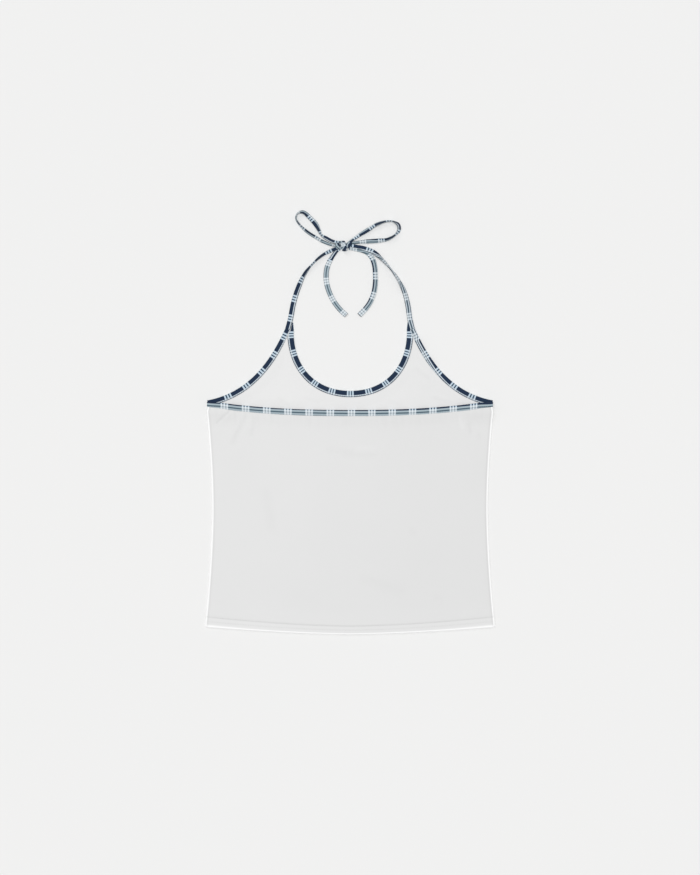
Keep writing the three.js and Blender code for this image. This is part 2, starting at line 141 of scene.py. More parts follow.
def sheet_of(name, columns, rows, place, cloth_uv, tone=None, turned=False, closed=False):
    """A sheet of cells. Each corner goes where place says, in millimetres, and unrolls to cloth_uv."""
    points = {
        (column, row): Vector(place(column, row)) for column in range(columns + 1) for row in range(rows + 1)
    }
    flat_points = {cell: cloth_uv(*cell, points[cell]) for cell in points}
    mesh = bmesh.new()
    bmesh.ops.create_grid(mesh, x_segments=columns, y_segments=rows, size=0.5)
    flat = mesh.loops.layers.uv.new("Cloth")
    shade = mesh.verts.layers.float.new("tone")
    cells = {}
    for vert in mesh.verts:
        cells[vert] = (round((vert.co.x + 0.5) * columns), round((vert.co.y + 0.5) * rows))
    for face in mesh.faces:
        for loop in face.loops:
            loop[flat].uv = Vector(flat_points[cells[loop.vert]]) * MM
    for vert, cell in cells.items():
        vert[shade] = tone(*cell, points[cell]) if tone else 0.5
        vert.co = points[cell] * MM
    if closed:
        bmesh.ops.remove_doubles(mesh, verts=mesh.verts, dist=1e-6)
    if turned:
        bmesh.ops.reverse_faces(mesh, faces=mesh.faces)
    for face in mesh.faces:
        face.smooth = True
    return object_of(name, mesh)


def give_wall(piece, thickness):
    """The sheet's cloth gets its thickness towards the inside."""
    wall = piece.modifiers.new("wall", "SOLIDIFY")
    wall.thickness = thickness * MM
    wall.offset = -1.0


def set_inputs(node, values):
    """Values for a node's sockets, by their names."""
    for name, value in values.items():
        node.inputs[name].default_value = value


def maths(tree, operation, first, second=0.0):
    """A Math node, fed by sockets or numbers."""
    node = tree.nodes.new("ShaderNodeMath")
    node.operation = operation
    for place, value in enumerate((first, second)):
        if isinstance(value, bpy.types.NodeSocket):
            tree.links.new(value, node.inputs[place])
        else:
            node.inputs[place].default_value = value
    return node.outputs[0]


def colour_mix(tree, share, first, second, kind="MIX"):
    """A colour Mix node, fed by sockets or colours."""
    node = tree.nodes.new("ShaderNodeMix")
    node.data_type = "RGBA"
    node.blend_type = kind
    for name, value in (("Factor", share), ("A", first), ("B", second)):
        socket = [s for s in node.inputs if s.name == name and s.type in ("RGBA", "VALUE") and s.enabled][0]
        if isinstance(value, bpy.types.NodeSocket):
            tree.links.new(value, socket)
        else:
            socket.default_value = value
    return [s for s in node.outputs if s.type == "RGBA"][0]


def ramp(tree, value, stops):
    """A Color Ramp node with a table of stops, each a place and a colour or a grey."""
    node = tree.nodes.new("ShaderNodeValToRGB")
    elements = node.color_ramp.elements
    while len(elements) < len(stops):
        elements.new(1.0)
    for element, (place, colour) in zip(elements, stops):
        element.position = place
        element.color = (*colour, 1.0) if isinstance(colour, tuple) else (colour, colour, colour, 1.0)
    tree.links.new(value, node.inputs["Fac"])
    return node.outputs["Color"]


def new_finish(name, roughness, sheen, sheen_roughness):
    """A cloth finish with its sheen set on the shader, and its node tree to add to."""
    material = bpy.data.materials.new(name)
    material.use_nodes = True
    shader = material.node_tree.nodes["Principled BSDF"]
    set_inputs(shader, {
        "Roughness": roughness, "Specular IOR Level": CLOTH_SPECULAR,
        "Sheen Weight": sheen, "Sheen Roughness": sheen_roughness})
    return material, material.node_tree, shader


def add_bump(tree, shader, height, bump):
    """Fine relief of the cloth on its shader, from a socket of heights."""
    node = tree.nodes.new("ShaderNodeBump")
    set_inputs(node, bump)
    tree.links.new(height, node.inputs["Height"])
    tree.links.new(node.outputs["Normal"], shader.inputs["Normal"])


# Camera, floor and light.
# A long lens looks straight down on the top, which lies on a plain pale floor. The light is soft: a broad
# lamp right above beside the camera, a weaker one from the upper left, and an even sky.
LENS = 100.0
SENSOR = 36.0
PICTURE_LONG_SIDE = 1166.7 * MM
PICTURE_MIDDLE_Y = -21.3 * MM
FLOOR_HALF = 16.0
FLOOR_COLOUR = (0.812, 0.812, 0.808, 1.0)
SKY_STRENGTH = 0.34
LAMPS = [
    {"name": "above", "strength": 2.04, "tilt": 0, "turn": 0, "softness": 16},
    {"name": "upper_left", "strength": 0.40, "tilt": 42, "turn": 38, "softness": 30},
]

scene.view_settings.view_transform = "Standard"
lens = bpy.data.cameras.new("camera")
lens.lens = LENS
lens.sensor_width = SENSOR
lens.sensor_height = SENSOR
lens.clip_end = 4.0 * FLOOR_HALF
camera = bpy.data.objects.new("camera", lens)
camera.location = (0.0, PICTURE_MIDDLE_Y, PICTURE_LONG_SIDE * LENS / SENSOR)
scene.collection.objects.link(camera)
scene.camera = camera

sky = bpy.data.worlds.new("studio")
sky.use_nodes = True
set_inputs(sky.node_tree.nodes["Background"], {"Color": (1.0, 1.0, 1.0, 1.0), "Strength": SKY_STRENGTH})
scene.world = sky

for row in LAMPS:
    lamp = bpy.data.lights.new(row["name"], "SUN")
    lamp.energy = row["strength"]
    lamp.angle = radians(row["softness"])
    lamp_object = bpy.data.objects.new(row["name"], lamp)
    lamp_object.rotation_euler = (radians(-row["tilt"]), 0.0, radians(row["turn"]))
    scene.collection.objects.link(lamp_object)

floor_mesh = bmesh.new()
bmesh.ops.create_grid(floor_mesh, x_segments=1, y_segments=1, size=FLOOR_HALF)
floor = object_of("floor", floor_mesh)
floor_paint = bpy.data.materials.new("floor_paper")
floor_paint.use_nodes = True
set_inputs(floor_paint.node_tree.nodes["Principled BSDF"], {
    "Base Color": FLOOR_COLOUR, "Roughness": 1.0, "Specular IOR Level": 0.0})
floor.data.materials.append(floor_paint)


# Front panel with its bib.
# One piece of thin white jersey, the lower layer, whose inside shows above the back's edge. Its hem is
# turned up to the inside, and its curved top edges run into the folded tape.
WALL = 0.7
CLOTH_INSET = 1.3
WAIST_HALF = 181.7
WAIST_Y = -115.0
TOP_FLARE = 8.6
HEM_FLARE = 8.1
FLARE_SPAN = 143.0
FLARE_POWER = 1.7
TOP_HALF = 190.3
HEM_EDGE = {"middle": -283.9, "rise": 10.7, "power": 1.6}
BACK_EDGE = {"middle": 15.3, "rise": 12.2, "power": 2.4}
ARMHOLE_EDGE = [(86.3, 124.5), (103.7, 85.0), (132.5, 38.8), (190.3, 28.2)]
NECK_EDGE = [(0.0, 40.9), (51.2, 40.9), (77.2, 79.3), (75.2, 122.4)]
HEM_DEPTH = 10.5
HEM_THICK = 1.6
BEND = 0.8
BIB_LINE = 4.0
BIB_TOP = 120.6
TIP_THIN = {"from": 106.0, "to": 119.0, "share": 0.5}
FRONT_SIDE_IN = 0.5
SIDE_OUT = {"width": 1.9, "from": 12.0, "to": 20.0}
INTO_TAPE = (9.0, 24.0)
BIB_FOLDS = table(
    "start end width rise",
    ((-118, 30), (-78, 24), 11, 0.9),
    ((84, 70), (100, 52), 9, 0.8),
)
BIB_CREASES = table(
    "start end width rise",
    ((-96, 34), (-80, 20), 3.0, 0.35),
    ((-60, 34), (-44, 29), 3.5, 0.25),
    ((88, 72), (103, 60), 3.4, 0.35),
    ((112, 34), (136, 27), 3.2, 0.30),
    ((52, 30), (66, 25), 3.0, 0.22),
)
HIDDEN_CREASES = table(
    "start end width rise",
    ((-110, -60), (-60, -84), 6.0, 0.5),
    ((40, -30), (86, -44), 7.0, 0.6),
    ((-20, -170), (44, -196), 8.0, 0.6),
    ((104, -150), (132, -118), 6.0, 0.5),
    ((-150, -206), (-118, -232), 6.0, 0.4),
)
EDGE_STEPS = 60
BIB_FROM_BACK = (1, 13)
HIDDEN_TOP = (-30, 0)
FRONT_SIDE_ROUND = {"depth": 0.6, "radius": 1.0, "below": 20}
FRONT_TONE = {"base": 0.60, "right": 0.04, "right_run": (20, 120), "crease": 0.10}
FRONT_RIM = {"light": 0.5, "side": (0.8, 2.4), "top": (18, 24)}
CREASE_SHADOW = (1.5, 2.5)
FRONT_COLUMNS = 200
FRONT_HEM_ROWS = [10.6, 7.5, 4.2, 1.6, 0.5, 0.0, 0.5, 1.6, 4.6, 5.4, 8.0, 9.8, 10.5, 11.2, 13.0, 20.0]
HEM_BEND_ROW = 5
FRONT_BODY_ROWS = 56
FRONT_BIB_ROWS = 54


def side_x(y):
    """Half width of the body at a height."""
    flare = TOP_FLARE if y > WAIST_Y else HEM_FLARE
    return WAIST_HALF + flare * (abs(y - WAIST_Y) / FLARE_SPAN) ** FLARE_POWER


def cloth_side(y):
    """Half width with the pressed seam's edge, which stands out a little below the armhole tapes."""
    return side_x(y) + SIDE_OUT["width"] * (1.0 - smooth(y, SIDE_OUT["from"], SIDE_OUT["to"]))


def edge_y(edge, x):
    """Height of an edge that crosses the body."""
    return edge["middle"] + edge["rise"] * min(1.0, abs(x) / TOP_HALF) ** edge["power"]


# Jersey: fine knitted rows of V-shaped stitches 0.75 mm wide, matt, a little uneven in tone.
STITCH_WIDTH = 0.75 * MM
STITCH_HEIGHT = 0.95 * MM
COURSE_SHARE = 0.55
KNIT_BUMP = {"Strength": 0.35, "Distance": 0.06 * MM}
CLOUDS = {"Scale": 9.0, "Detail": 3.0}
CLOUD_STRENGTH = 0.05
KNIT_SHADING = {"middle": 0.4, "strength": 0.02}
JERSEY_DARK = (0.560, 0.562, 0.560)
JERSEY_BASE = (0.729, 0.730, 0.729)
JERSEY_LIGHT = (0.950, 0.951, 0.950)

jersey, tree, shader = new_finish("white_jersey", roughness=0.92, sheen=0.12, sheen_roughness=0.55)
flat_place = tree.nodes.new("ShaderNodeUVMap")
flat_place.uv_map = "Cloth"
axes = tree.nodes.new("ShaderNodeSeparateXYZ")
tree.links.new(flat_place.outputs["UV"], axes.inputs[0])
across_wale = maths(tree, "ABSOLUTE", maths(tree, "SUBTRACT", maths(
    tree, "FRACT", maths(tree, "DIVIDE", axes.outputs["X"], STITCH_WIDTH)), 0.5))
slanted = maths(tree, "ADD", maths(tree, "DIVIDE", axes.outputs["Y"], STITCH_HEIGHT), across_wale)
course = maths(tree, "SINE", maths(tree, "MULTIPLY", slanted, 2 * pi))
wale = maths(tree, "COSINE", maths(tree, "MULTIPLY", across_wale, 2 * pi))
knit = maths(tree, "ADD", maths(tree, "MULTIPLY", course, COURSE_SHARE), wale)
add_bump(tree, shader, knit, KNIT_BUMP)
# Painted light and shade: the panels' tone attribute lightens the pressed edges and darkens seams, stitch
# grooves, creases, gathers and the right and lower parts. JERSEY_DARK and JERSEY_LIGHT are the painted shade
# and painted highlight ends of the ramp.
tone_value = tree.nodes.new("ShaderNodeAttribute")
tone_value.attribute_name = "tone"
cloudy = tree.nodes.new("ShaderNodeTexNoise")
set_inputs(cloudy, CLOUDS)
cloud_place = tree.nodes.new("ShaderNodeTexCoord")
tree.links.new(cloud_place.outputs["Object"], cloudy.inputs["Vector"])
cloud = maths(tree, "MULTIPLY", maths(tree, "SUBTRACT", cloudy.outputs["Fac"], 0.5), CLOUD_STRENGTH)
# Painted shade in the knit: the colour is a little darker where the knit's relief is low, between the wales,
# and lighter on the raised loops.
knit_shading = maths(tree, "MULTIPLY", maths(tree, "SUBTRACT", knit, KNIT_SHADING["middle"]), KNIT_SHADING["strength"])
whole_tone = maths(tree, "ADD", maths(tree, "ADD", tone_value.outputs["Fac"], cloud), knit_shading)
jersey_colour = ramp(tree, whole_tone, [(0.0, JERSEY_DARK), (0.5, JERSEY_BASE), (1.0, JERSEY_LIGHT)])
tree.links.new(jersey_colour, shader.inputs["Base Color"])

neck_places = even_places(NECK_EDGE, EDGE_STEPS)
armhole_places = even_places(ARMHOLE_EDGE, EDGE_STEPS)
bound_points = [place[0] for place in neck_places + armhole_places]
top_points = [point + into * CLOTH_INSET for point, into, _ in neck_places + armhole_places[1:]]
for point in top_points:
    point.y = min(point.y, BIB_TOP)
top_corner = top_points[-1]


def front_low(x, y):
    """Lower face of the front: flat on the surface and lifted into the tape."""
    here = Vector((abs(x), y))
    in_tape = 1.0 - smooth(min((point - here).length for point in bound_points), *INTO_TAPE)
    above_back = smooth(y - edge_y(BACK_EDGE, x), *BIB_FROM_BACK)
    folds = relief(BIB_FOLDS, x, y) + relief(BIB_CREASES, x, y)
    below = relief(HIDDEN_CREASES, x, y) * (1.0 - smooth(y, *HIDDEN_TOP))
    at_tip = between(1.0, TIP_THIN["share"], smooth(y, TIP_THIN["from"], TIP_THIN["to"]))
    return CLOTH_INSET * in_tape * at_tip + folds * (1.0 - in_tape) * above_back + below


def top_place(place):
    """Place on the front's top edge, from 0 at the middle of the neckline to 1 at the side seam."""
    exact = place * (len(top_points) - 1)
    before = min(int(exact), len(top_points) - 2)
    return top_points[before].lerp(top_points[before + 1], exact - before)


def column_place(column, columns):
    """Side, place along the top edge and share of the body's half width of a column of cells."""
    way = 2.0 * column / columns - 1.0
    top = top_place(abs(way))
    return (1.0 if way >= 0.0 else -1.0), top, between(top.x / top_corner.x, abs(way), 0.5)


front_columns = [column_place(column, FRONT_COLUMNS) for column in range(FRONT_COLUMNS + 1)]
front_rows = len(FRONT_HEM_ROWS) - 1 + FRONT_BODY_ROWS + FRONT_BIB_ROWS


def rounded(away, radius):
    """Drop of a surface towards a rounded edge, at a distance from it, as a share of the radius."""
    if away >= radius:
        return 0.0
    return 1.0 - sqrt(max(0.0, 1.0 - (1.0 - away / radius) ** 2))


def front_place(column, row):
    side, top, share = front_columns[column]
    hem_rows = len(FRONT_HEM_ROWS)
    if row < hem_rows + FRONT_BODY_ROWS:
        hem = edge_y(HEM_EDGE, share * TOP_HALF)
        above = FRONT_HEM_ROWS[min(row, hem_rows - 1)]
        if row >= hem_rows:
            above = between(above, BIB_LINE - hem, (row - hem_rows + 1) / FRONT_BODY_ROWS)
        y = hem + above
        x = side * share * (cloth_side(y) - FRONT_SIDE_IN)
    else:
        part = (row - hem_rows - FRONT_BODY_ROWS + 1) / FRONT_BIB_ROWS
        x = side * between(share * (cloth_side(BIB_LINE) - FRONT_SIDE_IN), top.x, part)
        y = between(BIB_LINE, top.y, part)
        above = HEM_DEPTH
    low = front_low(x, y)
    if y < FRONT_SIDE_ROUND["below"]:
        low += FRONT_SIDE_ROUND["depth"] * rounded(cloth_side(y) - abs(x), FRONT_SIDE_ROUND["radius"])
    if row < HEM_BEND_ROW:
        return x, y, low + HEM_THICK - BEND * rounded(above, BEND)
    return x, y, low + BEND * rounded(above, BEND)


def hem_uv(column, row, point):
    """Flat place of a panel's point. The turn of its hem unrolls below its edge."""
    return point.x, (2 * edge_y(HEM_EDGE, point.x) - point.y if row < HEM_BEND_ROW else point.y)


def front_tone(column, row, point):
    """Light on the pressed sides, and a little shade to the right and beside the creases."""
    x, y = point.xy
    rim = FRONT_RIM["light"] * (1.0 - smooth(cloth_side(y) - abs(x), *FRONT_RIM["side"]))
    rim *= 1.0 - smooth(y, *FRONT_RIM["top"])
    darker = FRONT_TONE["right"] * smooth(x, *FRONT_TONE["right_run"])
    crease = FRONT_TONE["crease"] * relief(BIB_CREASES, x - CREASE_SHADOW[0], y + CREASE_SHADOW[1])
    return FRONT_TONE["base"] + rim - darker - crease


front = sheet_of("front_jersey", FRONT_COLUMNS, front_rows, front_place, hem_uv, front_tone, turned=True)
give_wall(front, WALL)
front.data.materials.append(jersey)
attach(front, "root")
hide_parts("front_panel")


# Back panel.
# Jersey cut straight across below the shoulder blades, laid on the front and sewn to it at the sides. It is
# drawn into small gathers under its tape, and its hem is turned up and held by two rows of stitches.
BACK_HIGH = 2.3
HEM_LIFT = 1.2
HEM_RUN = (11.7, 32.0)
CORNER_X = (140.0, 166.0)
CORNER_Y = (-8.0, 13.0)
CORNER_RISE = 2.6
AIR_RISE = 1.6
AIR_RUN = 80.0
AIR_POWER = 6
BACK_FOLDS = table(
    "start end width rise",
    ((-140, -10), (-166, -60), 16, 1.1),
    ((148, -14), (164, -72), 16, 0.9),
    ((-34, -44), (38, -50), 15, 0.7),
    ((58, -126), (98, -172), 20, 0.8),
    ((-124, -188), (-58, -224), 20, 0.7),
)
BACK_CREASES = table(
    "start end width rise",
    ((-162, 12.5), (-177.5, -2.0), 1.3, -0.70),
    ((-158.5, 11.5), (-174, -3.5), 1.8, 0.12),
    ((-151, -12.5), (-154.5, -21.5), 1.5, -0.22),
    ((-138.7, 7.3), (-156, -27.3), 3.2, -0.40),
    ((-126, 4.0), (-131, -16.0), 3.0, -0.30),
    ((158.7, -3.5), (160.5, -13.5), 2.6, -0.45),
    ((171.5, -17.0), (174.0, -23.0), 2.6, -0.35),
    ((146.0, 4.0), (150.5, -8.0), 2.4, 0.30),
    ((-29, -38.0), (2, -40.5), 3.2, -0.24),
    ((-8, -45.5), (34, -44.0), 3.4, -0.26),
    ((12, -36.0), (30, -37.0), 2.8, 0.20),
    ((81, -146.0), (86, -149.0), 2.6, -0.30),
    ((113, -234.0), (120, -237.0), 3.0, -0.25),
    ((-112, -96), (-104, -140), 7.0, -0.22),
    ((20, -210), (66, -226), 7.0, -0.22),
)
GATHER_DEPTH = 0.26
GATHER_RUN = (4.0, 29.0)
GATHER_X = (-178.0, 180.0)
GATHER_RANGES = {"width": (1.2, 2.6), "depth": (0.3, 1.0), "length": (0.45, 1.0), "lean": (-0.10, 0.10)}
GATHER_STEP = (4.2, 10.5)
GATHER_FADE = {"form": (-2.0, 1.5), "tone": (-1.0, 3.0)}
SEAM_FADE = (-1.0, 1.0)
HEM_WIDER = {"middle": 0.07, "sides": 0.17}
SEAM = {"in": 3.0, "width": 0.9, "depth": 0.30, "shade": 0.16, "shade_width": 1.1}
HEM_GROOVES = [
    {"above": HEM_DEPTH, "depth": 0.32, "width": 0.7, "shade": 0.20},
    {"above": 5.5, "depth": 0.16, "width": 0.6, "shade": 0.06},
]
GROOVE_SHADE_WIDTH = 0.8
CLEAR_OF_SIDE = (1.0, 6.0)
SIDE_ROUND = {"depth": 0.3, "radius": 1.2}
BACK_RIM = {"light": 0.55, "side": (1.3, 2.5), "hem": (0.9, 2.0)}
HEM_LIGHT = {"light": 0.04, "fade": (-1.5, 1.0)}
CREASE_TONE = 0.16
GATHER_TONE = 0.05
PAINTED_BROAD_SHADING = {"base": 0.03, "right": 0.05, "right_run": (-120, 150), "low": 0.02, "low_run": (60, 240)}
BACK_TAPE_WIDTH = 8.0
CORNER_DROP = {"depth": 1.5, "from": 170.0, "to": 190.0}
BACK_EDGE_COLUMNS = [0.0, 0.25, 0.7, 1.3, 2.0, 2.7, 3.2, 3.8, 5.0]
BACK_EVEN_COLUMNS = 220
BACK_HEM_ROWS = [
    10.6, 7.5, 4.2, 1.6, 0.4, 0.0, 0.4, 1.2, 2.2, 3.6, 4.9, 5.5, 6.1, 7.5, 9.4, 10.1, 10.6, 11.1, 12.4,
    15.0, 19.0,
]
BACK_BODY_ROWS = 54
BACK_TOP_ROWS = 24
BACK_TOP_DEPTH = 36.0

chance = random.Random(11)
GATHERS = []
gather_x, gather_end = GATHER_X
while gather_x < gather_end:
    gather = {name: chance.uniform(*limits) for name, limits in GATHER_RANGES.items()}
    GATHERS.append({"x": gather_x, **gather})
    gather_x += chance.uniform(*GATHER_STEP)


def gathered(x, below):
    """Troughs of the small gathers at a distance below the tape."""
    total = 0.0
    for gather in GATHERS:
        away = x - gather["x"] - gather["lean"] * below
        if abs(away) < FOLD_REACH * gather["width"]:
            fade = 1.0 - smooth(below, GATHER_RUN[0], GATHER_RUN[1] * gather["length"])
            total += gather["depth"] * fade * bell(away, gather["width"])
    return total


def corner_lift(x, y):
    """Lift of the back over the end of the armhole tape."""
    return CORNER_RISE * smooth(abs(x), *CORNER_X) * smooth(y, *CORNER_Y)


def hem_stretch(x):
    """The hem's stitched depth grows a little towards the side seams."""
    return 1.0 + HEM_WIDER["middle"] + HEM_WIDER["sides"] * min(1.0, abs(x) / TOP_HALF) ** 2


def corner_drop(x):
    """The back's top edge is pulled down a little where it is sewn into the side seams."""
    return CORNER_DROP["depth"] * smooth(abs(x), CORNER_DROP["from"], CORNER_DROP["to"])


def back_high(x, y):
    """Upper face of the back, without its fine creases."""
    above_hem = y - edge_y(HEM_EDGE, x)
    below_edge = edge_y(BACK_EDGE, x) - y
    hem = HEM_LIFT * (1.0 - smooth(above_hem, *HEM_RUN))
    in_tape = CLOTH_INSET * (1.0 - smooth(below_edge, *INTO_TAPE))
    clear = smooth(above_hem, HEM_DEPTH, AIR_RUN) * smooth(below_edge, INTO_TAPE[1], AIR_RUN)
    folds = relief(BACK_FOLDS, x, y) * smooth(below_edge, *INTO_TAPE)
    side = 1.0 - min(1.0, abs(x) / side_x(y)) ** AIR_POWER
    return BACK_HIGH + hem + in_tape + corner_lift(x, y) + (AIR_RISE * clear + folds) * side


back_edges = len(BACK_EDGE_COLUMNS) - 1
back_columns = back_edges * 2 + BACK_EVEN_COLUMNS
back_rows = len(BACK_HEM_ROWS) - 1 + BACK_BODY_ROWS + BACK_TOP_ROWS


def back_x(column, y):
    """Place across the back of a column of cells, which crowd together at the side seams."""
    half = cloth_side(y)
    if column < back_edges:
        return -half + BACK_EDGE_COLUMNS[column]
    if column > back_columns - back_edges:
        return half - BACK_EDGE_COLUMNS[back_columns - column]
    inner = half - BACK_EDGE_COLUMNS[-1]
    return between(-inner, inner, (column - back_edges) / BACK_EVEN_COLUMNS)


def back_place(column, row):
    across = 2.0 * column / back_columns - 1.0
    hem_rows = len(BACK_HEM_ROWS)
    hem = edge_y(HEM_EDGE, across * TOP_HALF)
    top = edge_y(BACK_EDGE, across * TOP_HALF) - CLOTH_INSET - corner_drop(across * TOP_HALF)
    above = BACK_HEM_ROWS[min(row, hem_rows - 1)]
    stretch = hem_stretch(across * TOP_HALF)
    if row < hem_rows:
        y = hem + above * stretch
    elif row < hem_rows + BACK_BODY_ROWS:
        start = hem + BACK_HEM_ROWS[-1] * stretch
        y = between(start, top - BACK_TOP_DEPTH, (row - hem_rows + 1) / BACK_BODY_ROWS)
    else:
        y = between(top - BACK_TOP_DEPTH, top, (row - hem_rows - BACK_BODY_ROWS + 1) / BACK_TOP_ROWS)
    x = back_x(column, y)
    z = back_high(x, y)
    below_tape = edge_y(BACK_EDGE, x) - BACK_TAPE_WIDTH - y
    away = cloth_side(y) - abs(x)
    if row > HEM_BEND_ROW:
        inside = smooth(away, *CLEAR_OF_SIDE)
        z += relief(BACK_CREASES, x, y) * inside
        gather = gathered(x, max(0.0, below_tape)) * smooth(below_tape, *GATHER_FADE["form"])
        z -= GATHER_DEPTH * gather * inside
        z -= SEAM["depth"] * bell(away - SEAM["in"], SEAM["width"]) * smooth(below_tape, *SEAM_FADE)
        hem_height = (y - edge_y(HEM_EDGE, x)) / hem_stretch(x)
        for groove in HEM_GROOVES:
            z -= groove["depth"] * bell(hem_height - groove["above"], groove["width"]) * inside
    if row < HEM_BEND_ROW:
        return x, y, z - HEM_THICK + BEND * rounded(above, BEND)
    return x, y, z - BEND * rounded(above, BEND) - SIDE_ROUND["depth"] * rounded(away, SIDE_ROUND["radius"])


def back_tone(column, row, point):
    """Painted light on the turned edges, a little painted shade in the seams, hem stitch grooves, creases
    and gathers, and painted shade towards the right and the bottom.
    """
    x, y = point.xy
    if row < HEM_BEND_ROW:
        return 0.5
    away = cloth_side(y) - abs(x)
    above = (y - edge_y(HEM_EDGE, x)) / hem_stretch(x)
    below_tape = edge_y(BACK_EDGE, x) - BACK_TAPE_WIDTH - y
    rim = 1.0 - min(smooth(away, *BACK_RIM["side"]), smooth(above, *BACK_RIM["hem"]))
    seam = SEAM["shade"] * bell(away - SEAM["in"], SEAM["shade_width"])
    # Painted shade along the hem's two rows of stitch grooves.
    stitched = sum(
        groove["shade"] * bell(above - groove["above"], GROOVE_SHADE_WIDTH) for groove in HEM_GROOVES)
    hem_light = HEM_LIGHT["light"] * (1.0 - smooth(above - HEM_DEPTH, *HEM_LIGHT["fade"]))
    crease = CREASE_TONE * relief(BACK_CREASES, x, y)
    gather = GATHER_TONE * gathered(x, max(0.0, below_tape)) * smooth(below_tape, *GATHER_FADE["tone"])
    # Painted shade that darkens the back's colour towards the right and the bottom, in place of light
    # falling off from the upper left.
    broad = PAINTED_BROAD_SHADING["base"] - PAINTED_BROAD_SHADING["right"] * smooth(x, *PAINTED_BROAD_SHADING["right_run"])
    broad -= PAINTED_BROAD_SHADING["low"] * smooth(-y, *PAINTED_BROAD_SHADING["low_run"])
    return 0.5 + BACK_RIM["light"] * rim - seam - stitched + hem_light + crease - gather + broad


back = sheet_of("back_jersey", back_columns, back_rows, back_place, hem_uv, back_tone)
give_wall(back, WALL)
back.data.materials.append(jersey)
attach(back, "root")
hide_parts("back_panel")


# Stitches of the hem.
# White sewing thread in two rows through the back's hem, each stitch a small grain that sits in its groove.
HEM_STITCH_PITCH = 3.4
HEM_STITCH_LENGTH = 2.7
HEM_STITCH_X = 183.0
STITCH_SUNK = 0.24
UP = Vector((0.0, 0.0, 1.0))
TWIST_SCALE = 900.0
TWIST_SHADE = 0.8
THREAD_THICK = 0.42
THREAD_COLOUR = (0.72, 0.72, 0.715)


def stitch_row(name, places, length, thick, material):
    """One mesh of small grains of thread. A place is a point, a direction along and a direction out."""
    mesh = bmesh.new()
    for point, along, out in places:
        along = along.normalized()
        across = out.cross(along).normalized()
        turn = Matrix((along, across, along.cross(across))).transposed().to_4x4()
        size = Matrix.Diagonal((length / 2 * MM, thick / 2 * MM, thick / 2 * MM, 1.0))
        bmesh.ops.create_icosphere(
            mesh, subdivisions=1, radius=1.0, matrix=Matrix.Translation(point * MM) @ turn @ size)
    for face in mesh.faces:
        face.smooth = True
    piece = object_of(name, mesh)
    piece.data.materials.append(material)
    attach(piece, "root")


def thread_finish(name, colour):
    """Twisted sewing thread, a little glossier than the cloth."""
    material, tree, shader = new_finish(name, roughness=0.6, sheen=0.2, sheen_roughness=0.4)
    twist = tree.nodes.new("ShaderNodeTexWave")
    twist.bands_direction = "DIAGONAL"
    twist.inputs["Scale"].default_value = TWIST_SCALE
    place = tree.nodes.new("ShaderNodeTexCoord")
    tree.links.new(place.outputs["Object"], twist.inputs["Vector"])
    darker = tuple(TWIST_SHADE * value for value in colour)
    twisted = ramp(tree, twist.outputs["Fac"], [(0.0, darker), (1.0, colour)])
    tree.links.new(twisted, shader.inputs["Base Color"])
    return material


white_thread = thread_finish("white_thread", THREAD_COLOUR)
hem_places = []
for groove in HEM_GROOVES:
    stitch_x = -HEM_STITCH_X
    while stitch_x < HEM_STITCH_X:
        stitch_y = edge_y(HEM_EDGE, stitch_x)
        here = Vector((stitch_x, stitch_y + groove["above"] * hem_stretch(stitch_x), 0.0))
        here.z = back_high(here.x, here.y) - STITCH_SUNK
        hem_places.append((here, Vector((1.0, edge_y(HEM_EDGE, stitch_x + 1.0) - stitch_y, 0.0)), UP))
        stitch_x += HEM_STITCH_PITCH
stitch_row("hem_stitches", hem_places, HEM_STITCH_LENGTH, THREAD_THICK, white_thread)


# Armhole bindings.
# Woven checked tape 7.6 mm wide, folded over the armhole's raw edge and sewn through near its inner edge. It
# is woven half navy and half pale, and the navy side is up here.
CHECK_REPEAT = 27.4
TAPE_WALL = 0.6
ARMHOLE_TAPE = 7.6
TIE_WIDTH = 7.0
TAPER_RUN = 45.0
EDGE_ROLL = 1.2
SEAM_FROM_EDGE = 1.25
SEAM_HEIGHT = 3.12
CHECK_SPAN = (-9.4, 16.0)
NAVY_THREAD = (0.040, 0.062, 0.105)
LIGHT_STRIPE_COLOUR = (0.780, 0.840, 0.880)
MID_STRIPE_COLOUR = (0.560, 0.630, 0.680)
NAVY_THIN = (0.036, 0.070, 0.115)
PALE_THIN = (0.540, 0.600, 0.640)
MID_THIN = (0.300, 0.360, 0.400)
LINES = {
    "navy": {"block": (0.014, 0.030, 0.066), "stripe": (0.560, 0.680, 0.780), "thin": NAVY_THIN},
    "dark": {"block": (0.050, 0.070, 0.105), "stripe": (0.250, 0.320, 0.390), "thin": NAVY_THIN},
    "soft": {"block": (0.084, 0.126, 0.162), "stripe": MID_STRIPE_COLOUR, "thin": MID_THIN},
    "mid": {"block": (0.080, 0.130, 0.165), "stripe": MID_STRIPE_COLOUR, "thin": MID_THIN},
    "pale": {"block": (0.400, 0.485, 0.535), "stripe": LIGHT_STRIPE_COLOUR, "thin": PALE_THIN},
    "light": {"block": (0.62, 0.70, 0.76), "stripe": LIGHT_STRIPE_COLOUR, "thin": PALE_THIN},
}
